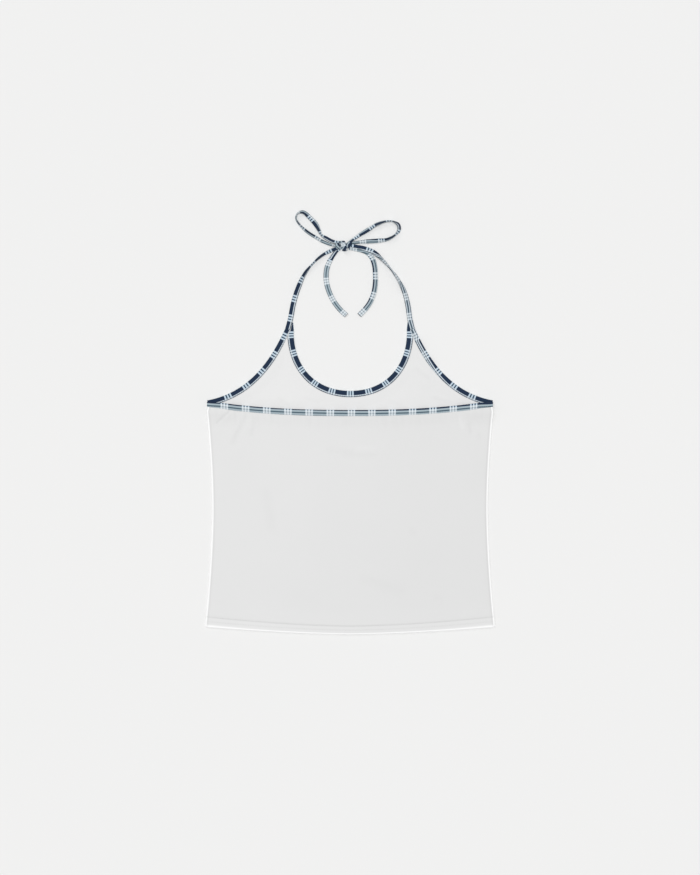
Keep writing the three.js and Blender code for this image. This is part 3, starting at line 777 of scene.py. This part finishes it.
# Lines across the tape's width: where each ends, in millimetres from the fold, and its kind.
LENGTHWISE = [
    (-7.2, "pale"), (-5.7, "mid"), (-3.6, "pale"), (-2.0, "mid"), (0.0, "pale"), (5.0, "navy"),
    (6.2, "light"), (7.2, "dark"), (8.5, "light"), (10.8, "soft"), (12.0, "light"), (13.2, "soft"),
    (16.0, "light"),
]
LIGHT_STRIPE = 2.1
THIN_LINE = 1.7
EDGE_SOFT = 0.12
REPEATS_AHEAD = 1000.5
TWILL_PITCH = 0.55 * MM
YARN_PITCH = 0.31 * MM
YARN_SHARE = 0.5
WEAVE_SHADE = {"share": 0.3, "darkest": 0.86}
WEAVE_BUMP = {"Strength": 0.4, "Distance": 0.05 * MM}
EDGE_DARKEST = 0.10


def lengthwise_ramp(tree, across, kind):
    """Colours across the tape's width, with soft changes from one line to the next."""
    low, high = CHECK_SPAN
    stops = []
    start = low
    for end, line in LENGTHWISE:
        for place in (start + EDGE_SOFT, end - EDGE_SOFT):
            stops.append(((place - low) / (high - low), LINES[line][kind]))
        start = end
    return ramp(tree, across, stops)


def bar_stops(start, end, soft):
    """Stops of a ramp for one light bar with soft edges."""
    return [(start - soft, 0.0), (start + soft, 1.0), (end - soft, 1.0), (end + soft, 0.0)]


def checked_tape(name):
    """The check: blocks and light groups of stripes along the tape, crossed by its lengthwise lines."""
    material, tree, shader = new_finish(name, roughness=0.85, sheen=0.10, sheen_roughness=0.5)
    place = tree.nodes.new("ShaderNodeUVMap")
    place.uv_map = "Cloth"
    axes = tree.nodes.new("ShaderNodeSeparateXYZ")
    tree.links.new(place.outputs["UV"], axes.inputs[0])
    low, high = CHECK_SPAN
    across = maths(tree, "DIVIDE", maths(tree, "SUBTRACT", axes.outputs["Y"], low * MM), (high - low) * MM)
    along = maths(tree, "FRACT", maths(tree, "ADD", maths(
        tree, "DIVIDE", axes.outputs["X"], CHECK_REPEAT * MM), REPEATS_AHEAD))
    middle, stripe, thin = 0.5, LIGHT_STRIPE / CHECK_REPEAT, THIN_LINE / CHECK_REPEAT
    soft = EDGE_SOFT / CHECK_REPEAT
    half_group = 1.5 * stripe + thin
    group = ramp(tree, along, bar_stops(middle - half_group, middle + half_group, soft))
    first, second = middle - stripe / 2 - thin, middle + stripe / 2
    thin_lines = bar_stops(first, first + thin, soft) + bar_stops(second, second + thin, soft)
    lines = ramp(tree, along, thin_lines)
    block, bars, thins = (lengthwise_ramp(tree, across, kind) for kind in ("block", "stripe", "thin"))
    pattern = colour_mix(tree, lines, colour_mix(tree, group, block, bars), thins)
    rib = maths(tree, "ADD", axes.outputs["X"], axes.outputs["Y"])
    twill = maths(tree, "SINE", maths(tree, "MULTIPLY", rib, 2 * pi / TWILL_PITCH))
    yarn = maths(tree, "SINE", maths(tree, "MULTIPLY", axes.outputs["X"], 2 * pi / YARN_PITCH))
    weave = maths(tree, "ADD", twill, maths(tree, "MULTIPLY", yarn, YARN_SHARE))
    depth = maths(tree, "ADD", maths(tree, "MULTIPLY", weave, WEAVE_SHADE["share"]), 0.5)
    shade = ramp(tree, depth, [(0.0, WEAVE_SHADE["darkest"]), (1.0, 1.0)])
    # Painted shade: the tone attribute darkens the tape's colour along the ties' folded and sewn edges, and
    # a free end is also darker across its cut.
    edge_tone = tree.nodes.new("ShaderNodeAttribute")
    edge_tone.attribute_name = "tone"
    edge_shade = ramp(tree, edge_tone.outputs["Fac"], [(0.0, EDGE_DARKEST), (0.5, 1.0), (1.0, 1.0)])
    woven = colour_mix(tree, 1.0, colour_mix(tree, 1.0, pattern, shade, "MULTIPLY"), edge_shade, "MULTIPLY")
    tree.links.new(woven, shader.inputs["Base Color"])
    add_bump(tree, shader, weave, WEAVE_BUMP)
    return material


navy_side = checked_tape("tape_navy_side")
pale_side = checked_tape("tape_pale_side")


def folded_section(width, tall):
    """Outer skin of the folded tape, as depth and height, from its lower inner edge round to the upper."""
    full = max(width, 6.0)
    skin = [
        (full, 0.0), (full * 0.6, 0.0), (1.2, 0.0), (0.35, 0.15), (0.05, 0.8), (0.0, 1.8),
        (0.05, 2.8), (0.4, 3.38), (1.3, 3.56), (full * 0.4, 3.58), (full * 0.6, 3.5),
        (full - 2.0, 3.34), (full - SEAM_FROM_EDGE, 3.02), (full - 0.7, 3.12), (full - 0.2, 3.0),
        (full, 2.75),
    ]
    return [(depth * width / full, height * tall) for depth, height in skin]


FOLD_POINT = 5
PUCKER_LENGTHS = (46.0, 23.0, 9.7, 5.3)
PUCKER = {"rise": 0.10, "inner_rise": 0.12, "inner_share": 1.7, "from_row": 8, "inner_row": 13}


def section_runs(section, fold_point):
    """Distance of each point of a section from the fold, round the skin, over 0 on the upper side."""
    runs = [0.0]
    for (x0, y0), (x1, y1) in zip(section, section[1:]):
        runs.append(runs[-1] + sqrt((x1 - x0) ** 2 + (y1 - y0) ** 2))
    return [run - runs[fold_point] for run in runs]


def puckered(run, seed):
    """Small rises and dips along a sewn tape, from -1 to 1."""
    waves = random.Random(seed)
    total = 0.0
    for length in PUCKER_LENGTHS:
        total += sin(2 * pi * (run / length + waves.random())) / len(PUCKER_LENGTHS)
    return total


def full_height(run):
    return 1.0


def dress_tape(piece, thickness, node, material):
    """A tape gets its wall and finish, and stands for its node."""
    give_wall(piece, thickness)
    piece.data.materials.append(material)
    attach(piece, "root")
    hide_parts(node)


def binding(name, node, places, width_at, base_at, check_at, material, seed, tall_at=full_height):
    sections = [folded_section(width_at(run), tall_at(run)) for _, _, run in places]
    runs = [section_runs(section, FOLD_POINT) for section in sections]
    around = len(sections[0]) - 1

    def place(column, row):
        point, into, run = places[column]
        depth, height = sections[column][row]
        waver = 0.0
        if row >= PUCKER["from_row"]:
            waver += PUCKER["rise"] * puckered(run, seed)
        if row >= PUCKER["inner_row"]:
            waver += PUCKER["inner_rise"] * puckered(run * PUCKER["inner_share"], seed + 1)
        height += waver * tall_at(run) ** 2
        flat = point + into * depth
        return flat.x, flat.y, base_at(flat if depth > 2 else point) + height

    def unrolled(column, row, point):
        return check_at(places[column][2], runs[column][row])

    first, second = places[0][0], places[1][0]
    forward = second - first
    turned = forward.x * places[0][1].y - forward.y * places[0][1].x < 0.0
    piece = sheet_of(name, len(places) - 1, around, place, unrolled, turned=turned)
    dress_tape(piece, TAPE_WALL, node, material)
    return piece


def seam_places(places, width_at, base_at, sewn, tall_at=full_height):
    """Places of the stitches in the groove near a binding's inner edge, between two runs."""
    found = []
    target, stop = sewn
    for (point, into, run), (after, _, _) in zip(places, places[1:]):
        if run < target or run > stop:
            continue
        target += STITCH_PITCH
        flat = point + into * (width_at(run) - SEAM_FROM_EDGE)
        forward = after - point
        here = Vector((flat.x, flat.y, base_at(flat) + SEAM_HEIGHT * tall_at(run)))
        found.append((here, Vector((forward.x, forward.y, 0.0)), UP))
    return found


def changing(run, start, changes):
    """A value along a tape: what it starts as, and soft changes by an amount between two runs."""
    return start + sum(change["by"] * smooth(run, change["from"], change["to"]) for change in changes)


ARMHOLE_FIRST_GROUP = 10.8
ARMHOLE_SPREAD = 0.89
ARMHOLE_SEWN = (3.0, 140.0)
ARMHOLE_LAST_BLOCK = table("by from to", (-6.5, 127.0, 140.0))
RIGHT_ROLL = 6.0
RIGHT_UNROLLS = table("by from to", (-3.2, 9.0, 19.0), (-2.8, 30.0, 90.0))
ROOT_TALL = 0.6
ROOT_RUN = 16.0
STITCH_PITCH = 3.0
STITCH_LENGTH = 2.3
ARMHOLE_STEPS = 300


def armhole_width(run):
    return between(TIE_WIDTH, ARMHOLE_TAPE, smooth(run, 0.0, TAPER_RUN))


def armhole_tall(run):
    """Share of the tape's full height, which sinks to the closed strip at the strap root."""
    return between(ROOT_TALL, 1.0, smooth(run, 0.0, ROOT_RUN))


def left_check(run, around):
    """The check's repeat ends on a longer navy block at the side seam."""
    along = changing(run, run - ARMHOLE_FIRST_GROUP, ARMHOLE_LAST_BLOCK)
    return along, (around - EDGE_ROLL) * ARMHOLE_SPREAD


def right_check(run, around):
    """The right tape is rolled over towards the strap root, so that its pale lines come to the top."""
    along, across = left_check(run, around)
    return along, across + changing(run, RIGHT_ROLL, RIGHT_UNROLLS)


def level(point):
    return 0.0


navy_thread = thread_finish("navy_thread", NAVY_THREAD)
fine_armhole = even_places(ARMHOLE_EDGE, ARMHOLE_STEPS)
for side_name, side, check_at in (("right", 1.0, right_check), ("left", -1.0, left_check)):
    places = [
        (Vector((side * point.x, point.y)), Vector((side * into.x, into.y)), run)
        for point, into, run in fine_armhole
    ]
    piece = binding(
        f"armhole_tape_{side_name}", f"armhole_binding_{side_name}", places, armhole_width, level,
        check_at, navy_side, seed=3 if side > 0 else 4, tall_at=armhole_tall)
    sewn = seam_places(places, armhole_width, level, ARMHOLE_SEWN, armhole_tall)
    stitch_row(
        f"armhole_stitches_{side_name}", sewn, STITCH_LENGTH, THREAD_THICK, navy_thread)


# Neckline binding.
# The same tape, 8.4 mm wide, folded over the scooped neckline. Both ends run on beside the strap roots,
# where the armhole tapes leave it less and less room, and run out to a point.
NECK_TAPE = 8.4
NECK_REPEAT = 23.8
NECK_SPREAD = 0.81
NECK_END = Vector((76.2, 132.0))
STRAP_ROOT = (Vector((83.1, 123.1)), Vector((79.8, 137.0)))
TAPE_GAP = 0.25
NECK_SHIFT = 0.4
NECK_SEWN = (-112.0, 112.0)
NECK_SINKS = (-16.0, 4.0)
NARROW_ABOVE = 80.0
LEAST_WIDTH = 0.5
ROOM_STEP = 0.2
RUN_OUT_STEPS = 16
NECK_STEPS = 240
half_neck = even_places(NECK_EDGE, NECK_STEPS)
neck_point, neck_into, half_run = half_neck[-1]
for step in range(1, RUN_OUT_STEPS + 1):
    share = step / RUN_OUT_STEPS
    half_neck.append((
        neck_point.lerp(NECK_END, share), neck_into, half_run + (NECK_END - neck_point).length * share))
neck_line = []
for point, into, run in half_neck[:0:-1]:
    neck_line.append((Vector((NECK_SHIFT - point.x, point.y)), Vector((-into.x, into.y)), -run))
for point, into, run in half_neck:
    neck_line.append((Vector((NECK_SHIFT + point.x, point.y)), into, run))


def room_beside(point, into):
    """Width that the armhole tape or the strap leaves free beside the neckline."""
    width = 0.0
    while width < NECK_TAPE:
        here = point + into * (width + ROOM_STEP)
        nearest, _, run = min(fine_armhole, key=lambda place: (place[0] - here).length_squared)
        if (nearest - here).length < armhole_width(run) + TAPE_GAP and here.y < STRAP_ROOT[0].y:
            break
        low, high = STRAP_ROOT
        middle_x = between(low.x, high.x, (here.y - low.y) / (high.y - low.y))
        if here.y >= low.y and here.x > middle_x - TIE_WIDTH / 2 - TAPE_GAP:
            break
        width += ROOM_STEP
    return max(width, LEAST_WIDTH)


neck_widths = {
    round(run, 3): room_beside(point, into) for point, into, run in half_neck if point.y > NARROW_ABOVE
}


def neck_width(run):
    """The tape's width, which is full up to where the armhole tape comes close."""
    return neck_widths.get(round(abs(run), 3), NECK_TAPE)


def neck_tall(run):
    return between(1.0, ROOT_TALL, smooth(abs(run) - half_run, *NECK_SINKS))


def neck_check(run, around):
    return run * CHECK_REPEAT / NECK_REPEAT, (around - EDGE_ROLL) * NECK_SPREAD


piece = binding(
    "neckline_tape", "neckline_binding", neck_line, neck_width, level, neck_check,
    navy_side, seed=7, tall_at=neck_tall)
sewn = seam_places(neck_line, neck_width, level, NECK_SEWN, neck_tall)
stitch_row("neckline_stitches", sewn, STITCH_LENGTH, THREAD_THICK, navy_thread)


# Back binding.
# The same tape along the back's top edge, from side seam to side seam, with its pale side up and the navy
# just showing over the fold, more so towards the right.
BACK_REPEAT = {"left": 28.2, "right": 27.1}
BACK_GROUP_X = 2.0
BACK_SPREAD = 0.88
BACK_STEPS = 420
BACK_SEWN = (-186.0, 186.0)
BACK_TAPE_LOW = 1.3
BACK_NARROWS = table("by from to", (-1.6, 160.0, 190.0))
BACK_FOLD_OFF = 1.3
BACK_FOLD_SHIFTS = table("by from to", (0.8, 40, 110), (0.4, 140, 180))
BACK_WAVER = {"by": 0.2, "length": 31.0}
BACK_LAST_BLOCK = table("by from to", (-4.5, 172.0, 186.0))
PALE_THREAD = (0.36, 0.42, 0.46)
back_line = []
for step in range(BACK_STEPS + 1):
    edge_x = between(-TOP_HALF, TOP_HALF, step / BACK_STEPS)
    edge_point = Vector((edge_x, edge_y(BACK_EDGE, edge_x) - corner_drop(edge_x)))
    back_line.append((edge_point, Vector((0.0, -1.0)), edge_x))


def back_base(point):
    """Lower face of the back's tape, which climbs over the armhole tapes at both ends."""
    return BACK_TAPE_LOW + corner_lift(point.x, point.y)


def back_width(run):
    """The tape is drawn narrower into both side seams."""
    return changing(abs(run), BACK_TAPE_WIDTH, BACK_NARROWS)


def back_check(run, around):
    """The fold runs a little off the line between the check's navy and pale halves."""
    off = changing(run, BACK_FOLD_OFF, BACK_FOLD_SHIFTS) + BACK_WAVER["by"] * sin(run / BACK_WAVER["length"])
    from_group = changing(run, run - BACK_GROUP_X, BACK_LAST_BLOCK)
    repeat = BACK_REPEAT["left" if from_group < 0.0 else "right"]
    return from_group * CHECK_REPEAT / repeat, off - (around - EDGE_ROLL) * BACK_SPREAD


piece = binding(
    "back_tape", "back_binding", back_line, back_width, back_base, back_check,
    pale_side, seed=9)
pale_thread = thread_finish("pale_thread", PALE_THREAD)
sewn = seam_places(back_line, back_width, back_base, BACK_SEWN)
stitch_row("back_tape_stitches", sewn, STITCH_LENGTH, THREAD_THICK, pale_thread)


# Straps, loops and free ends.
# Each armhole's tape runs on past the bib, folded shut and sewn along its open side. It stands on its edge
# where it turns towards the knot, rounds a loop of the bow, and ends in a free end that is cut square.
TIE_THICK = 2.0
TIE_WALL = 0.5
STEPS_PER_ROW = 9
AHEAD = 0.05
CHECK_OFF = 0.2
LOOP_EASED = {"from": 58.0, "to": 95.0, "longer": 7.7}
TIE_COLUMNS = "x y tilt lift width check"
TIES = {
    "strap_left": {"fold": 1, "first_group": 15.2, "repeat": 26.5, "cut": (-0.915, 0.403), "rows": table(
        TIE_COLUMNS,
        (-83.1, 123.1, 0, 0.05, 6.9, 0),
        (-79.3, 137, 0, 0, 7, 0),
        (-75.5, 157, 6, 0, 7, 0),
        (-69.3, 177.3, 22, 0, 7, 0),
        (-60.5, 196.2, 56, 0, 7, 0.3),
        (-49.8, 209.8, 84, 0, 6.8, 0.8),
        (-37.8, 220.6, 66, 0.9, 6.2, 0.2),
        (-25.0, 227.7, 28, 2.7, 5, -0.6),
        (-14, 232.4, 8, 3, 4.6, -0.9),
    )},
    "strap_right": {"fold": -1, "first_group": 17.4, "repeat": 26.8, "cut": (-0.915, -0.403), "rows": table(
        TIE_COLUMNS,
        (83.1, 123.1, 0, 0.05, 6.9, 5.8),
        (79.8, 137, 4, 0, 7, 5.2),
        (77.2, 155, 18, 0, 7, 5.2),
        (72.2, 173.3, 34, 0, 7, 5.6),
        (64.3, 189.2, 62, 0, 7, 7.2),
        (54.5, 202.8, 82, 0, 7, 10.0),
        (43.9, 214.7, 60, 1.0, 7, 4.4),
        (32.4, 224.8, 25, 2.8, 6.6, 0.6),
        (20, 230.2, 8, 2.8, 6, 0),
        (8, 233.4, 6, 2.8, 4.4, 0),
        (-1, 234.6, 6, 2.8, 4, 0),
    )},
    "bow_loop_left": {"fold": -1, "first_group": 4.1, "repeat": 25.5, "eased": LOOP_EASED, "rows": table(
        TIE_COLUMNS,
        (-12, 238.2, 44, 1, 4.4, 0.4),
        (-22.2, 239.7, 32, 0.5, 5.2, 0.3),
        (-31.0, 244.0, 34, 0, 5.6, 0.2),
        (-38.4, 248.8, 70, 0, 6, -1.6),
        (-41.2, 254.6, 54, 0, 6.8, -2.6),
        (-45.4, 262.4, 30, 0, 7, -2.9),
        (-53.4, 271.6, 34, 0, 7, -3.5),
        (-62.6, 279, 52, 0, 7, -4.6),
        (-69.8, 277.2, 80, 0, 7, -8.2),
        (-72.0, 270.6, 88, 0, 7, -9.2),
        (-67.4, 262.4, 80, 0, 7, -5.4),
        (-57.3, 253.0, 62, 0, 6.4, -4.0),
        (-45.8, 245.4, 54, 0, 5.8, -4.0),
        (-34.4, 239.0, 50, 0.3, 5.2, -8.6),
        (-22, 234.7, 52, 1, 4.4, -8.8),
        (-12, 234.4, 56, 1.5, 3.4, -6),
    )},
    "bow_loop_right": {"fold": 1, "first_group": 16.8, "repeat": 24.7, "rows": table(
        TIE_COLUMNS,
        (-5, 235.6, -48, 2.2, 4, -2.2),
        (2.4, 241.2, -44, 1.2, 4.6, -2.6),
        (11, 247.4, -38, 0.4, 5.6, -2.9),
        (23.4, 255, -38, 0, 6.6, -3.4),
        (35.4, 262.4, -52, 0, 7, -2.2),
        (46.8, 266.4, -72, 0, 7, -3.2),
        (57.2, 266.6, -82, 0, 7, -3.6),
        (64.4, 262.0, -52, 0, 7, -0.2),
        (65.2, 255, -54, 0, 7, -0.4),
        (59.6, 248, -78, 0, 7, -3.4),
        (49.7, 242.6, -64, 0, 7, -3.4),
        (37, 240.8, -36, 0, 6.6, -5.4),
        (23.4, 239.9, -28, 0, 6, -5.6),
        (11, 238.8, -40, 0, 4.6, -5),
        (1.5, 237.6, -40, 0.4, 4, -5),
    )},
    "bow_tail_left": {"fold": 1, "first_group": 2.4, "repeat": 25.0, "rows": table(
        TIE_COLUMNS,
        (-11, 232.4, 0, 0, 4.2, 2.2),
        (-17.0, 228.2, 0, 0, 4.6, 2.2),
        (-22.2, 221.6, 0, 0, 5.2, 2.0),
        (-25.2, 217.2, 0, 0, 5.9, 2.0),
        (-28.0, 211.8, 0, 0, 6.6, -6.6),
        (-30.9, 203.6, 0, 0, 6.8, -6.6),
        (-31.9, 192.5, 0, 0, 6.8, -6.6),
        (-30.2, 180.4, 0, 0, 6.8, -6.6),
        (-26, 168.6, 0, 0, 6.8, -6.6),
        (-19.6, 157.2, 0, 0, 6.8, -6.6),
        (-12.6, 148.6, 0, 0, 6.8, -6.6),
        (-4.8, 141.4, 0, 0, 6.8, -6.6),
    )},
    "bow_tail_right": {"fold": 1, "first_group": 6.3, "repeat": 26.6, "rows": table(
        TIE_COLUMNS,
        (-1.5, 230.8, 0, 0, 4.2, -9.4),
        (10.4, 228.9, 0, 0, 5.0, -9.4),
        (21.4, 226.0, -4, 0, 6.2, -8.2),
        (28.6, 219.2, -12, 0, 6.8, -5.4),
        (32.5, 208.8, -20, 0, 6.8, -5.4),
        (33.8, 196, -24, 0, 6.8, -5.4),
        (33.6, 183, -22, 0, 6.8, -5.4),
        (31.5, 170.6, -18, 0, 6.8, -5.5),
        (27.0, 159.4, -12, 0, 6.8, -5.7),
        (20.4, 149.8, -4, 0, 6.8, -5.9),
        (12.4, 141.6, 0, 0, 6.8, -6.2),
    )},
}


def path_point(points, share):
    """Point on the smooth curve through the points, with knots spaced by the root of their distances."""
    exact = share * (len(points) - 1)
    first = min(int(exact), len(points) - 2)
    weight = exact - first
    before = points[first - 1] if first > 0 else points[0] * 2 - points[1]
    after = points[first + 2] if first + 2 < len(points) else points[-1] * 2 - points[-2]
    start, end = points[first], points[first + 1]
    gap_a = sqrt((start - before).length)
    gap_b = sqrt((end - start).length)
    gap_c = sqrt((after - end).length)
    leave = ((start - before) / gap_a - (end - before) / (gap_a + gap_b) + (end - start) / gap_b) * gap_b
    arrive = ((end - start) / gap_b - (after - start) / (gap_b + gap_c) + (after - end) / gap_c) * gap_b
    cubic = (start - end) * 2 + leave + arrive
    square = (end - start) * 3 - leave * 2 - arrive
    return ((cubic * weight + square) * weight + leave) * weight + start


Frame = namedtuple("Frame", "middle along across out width run check")


def tie_frames(rows, cut=None):
    """Frames along a tie, each with its middle, three directions, width, run and place on the check.

    cut is the direction of the strip's first edge, where it meets the armhole tape at a slant.
    """
    points = [Vector((row["x"], row["y"], 0.0)) for row in rows]
    steps = (len(rows) - 1) * STEPS_PER_ROW
    frames = []
    run = 0.0
    previous = None
    for step in range(steps + 1):
        exact = step / STEPS_PER_ROW
        row, following = rows[int(exact)], rows[min(int(exact) + 1, len(rows) - 1)]
        share = smooth(exact % 1.0, 0.0, 1.0)
        tilt, lift, width, check = (
            between(row[name], following[name], share) for name in ("tilt", "lift", "width", "check"))
        tilt = radians(tilt)
        middle = path_point(points, step / steps)
        ahead = path_point(points, min(1.0, (step + AHEAD) / steps))
        behind = path_point(points, max(0.0, (step - AHEAD) / steps))
        along = (ahead - behind).normalized()
        middle.z = lift + (width * abs(sin(tilt)) + TIE_THICK * cos(tilt)) / 2
        level_across = Vector((-along.y, along.x, 0.0))
        if cut:
            turned_back = smooth(step, 0, STEPS_PER_ROW)
            level_across = Vector((*cut, 0.0)).lerp(level_across, turned_back).normalized()
        across = Matrix.Rotation(tilt, 3, along) @ level_across
        if previous is not None:
            run += (middle - previous).length
        previous = middle.copy()
        frames.append(Frame(middle, along, across, along.cross(across), width, run, check))
    return frames


def tie_section(width):
    """Outer skin of the folded strip, as side and rise, from its sewn edge under to its fold and over."""
    half = width / 2
    hem = min(1.0, width / 6.0)
    return [
        (half, 0.0), (half - 0.05, -0.4), (half - 0.45 * hem, -0.72), (half - 0.9 * hem, -0.68),
        (half - 1.3 * hem, -0.9), (0.0, -1.0), (-half + 0.5, -0.92), (-half + 0.12, -0.5), (-half, 0.0),
        (-half + 0.12, 0.5), (-half + 0.5, 0.82), (-half * 0.5, 0.97), (0.0, 1.0), (half * 0.4, 0.97),
        (half - 1.3 * hem, 0.86), (half - 0.9 * hem, 0.68), (half - 0.45 * hem, 0.72), (half - 0.05, 0.4),
        (half, 0.0),
    ]


TIE_FOLD_POINT = 8
TIE_EDGE_ROWS = {0: 1.0, 1: 1.0, 2: 0.5, 7: 0.7, 8: 1.0, 9: 0.7, 16: 0.5, 17: 1.0, 18: 1.0}
EDGE_SHADE = 0.25
END_SHADE = 0.45


def tie_strip(name, node, frames, fold, first_group, repeat, material, free_end=False, eased=None):
    """A closed strip of folded tape through its frames, with its fold on one side of the path, -1 or 1.

    eased is a stretch of the run over which the check moves on by a further length.
    """
    sections = [tie_section(frame.width) for frame in frames]
    runs = [section_runs(section, TIE_FOLD_POINT) for section in sections]
    around = len(sections[0]) - 1

    def place(column, row):
        side, rise = sections[column][row]
        here = frames[column].middle - frames[column].across * (side * fold) + frames[column].out * rise
        return here.x, here.y, max(here.z, 0.0)

    def unrolled(column, row, point):
        run = frames[column].run
        if eased:
            run += eased["longer"] * smooth(run, eased["from"], eased["to"])
        across = runs[column][row] - CHECK_OFF + frames[column].check
        return (run - first_group) * CHECK_REPEAT / repeat, across

    # Painted shade along the strip's folded and sewn edges; the last column of a free end is darker too.
    def edge_tone(column, row, point):
        shaded = 0.5 - EDGE_SHADE * TIE_EDGE_ROWS.get(row, 0.0)
        return shaded - (END_SHADE if free_end and column == len(frames) - 1 else 0.0)

    piece = sheet_of(
        name, len(frames) - 1, around, place, unrolled, edge_tone, turned=fold > 0, closed=True)
    dress_tape(piece, TIE_WALL, node, material)
    return piece


for tie_name, tie in TIES.items():
    is_tail = "tail" in tie_name
    frames = tie_frames(tie["rows"], tie.get("cut"))
    piece = tie_strip(
        f"{tie_name}_tape", tie_name, frames, tie["fold"], tie["first_group"], tie["repeat"],
        pale_side if is_tail else navy_side, is_tail,
        tie.get("eased"))


# Knot.
# Both ties are drawn round each other: a turn of tape stands upright round the middle, and a lobe of each
# tie is pulled tight on either side of it.
KNOT = {"x": -8.0, "y": 234.7, "z": 3.4, "turn": 4.0, "squash": 0.86, "low": 1.06}
WRAPS = table(
    "name along radius width lean start repeat check above below bulge",
    ("middle", -0.7, 5.5, 6.8, -14, 0.75, 11.52, -7.2, -3.0, -0.4, 0.30),
    ("left", -8.6, 3.5, 5.6, -14, 12.5, 22.0, -3.4, -3.2, -6.4, 0.04),
    ("right", 6.6, 3.3, 5.4, 36, 10.4, 20.7, -1.8, -3.0, -2.6, 0.06),
)
ABOVE = {"angle": 0.85, "width": 0.60}
BELOW = {"angle": 5.15, "width": 0.80}
UNEVEN = 0.04
FLATTER = 1.1
WRAP_STEPS = 48


def wrap_frames(wrap):
    """Frames of a turn of tape round the knot, leaning a little along it and flat on the surface below."""
    turn, lean = radians(KNOT["turn"]), radians(wrap["lean"])
    long_way = Vector((cos(turn), sin(turn), 0.0))
    cross_way = Vector((-sin(turn), cos(turn), 0.0))
    centre = Vector((KNOT["x"], KNOT["y"], KNOT["z"])) + long_way * wrap["along"]
    frames = []
    for step in range(WRAP_STEPS + 1):
        angle = 2 * pi * (step % WRAP_STEPS) / WRAP_STEPS
        squash = KNOT["squash"]
        if cos(angle) <= 0.0:
            squash = (KNOT["z"] - KNOT["low"]) / (FLATTER * wrap["radius"])
        out = cross_way * sin(angle) + Vector((0.0, 0.0, squash * cos(angle)))
        above = bell(angle - ABOVE["angle"], ABOVE["width"])
        below = bell(angle - BELOW["angle"], BELOW["width"])
        bulge = 1.0 + wrap["bulge"] * below + UNEVEN * sin(3 * angle + wrap["start"])
        leaning = long_way * (wrap["radius"] * sin(lean) * sin(angle))
        middle = centre + out * (wrap["radius"] * bulge) + leaning
        middle.z = max(middle.z, KNOT["low"])
        along = cross_way * cos(angle) - Vector((0.0, 0.0, squash * sin(angle)))
        along = (along + long_way * (sin(lean) * cos(angle))).normalized()
        out = (out - along * out.dot(along)).normalized()
        run = 2 * pi * wrap["radius"] * step / WRAP_STEPS
        check = between(between(wrap["check"], wrap["above"], above), wrap["below"], below)
        frames.append(Frame(middle, along, out.cross(along), out, wrap["width"], run, check))
    return frames


for wrap in WRAPS:
    frames = wrap_frames(wrap)
    piece = tie_strip(
        f"knot_{wrap['name']}", "bow_knot", frames, 1, wrap["start"], wrap["repeat"],
        pale_side)
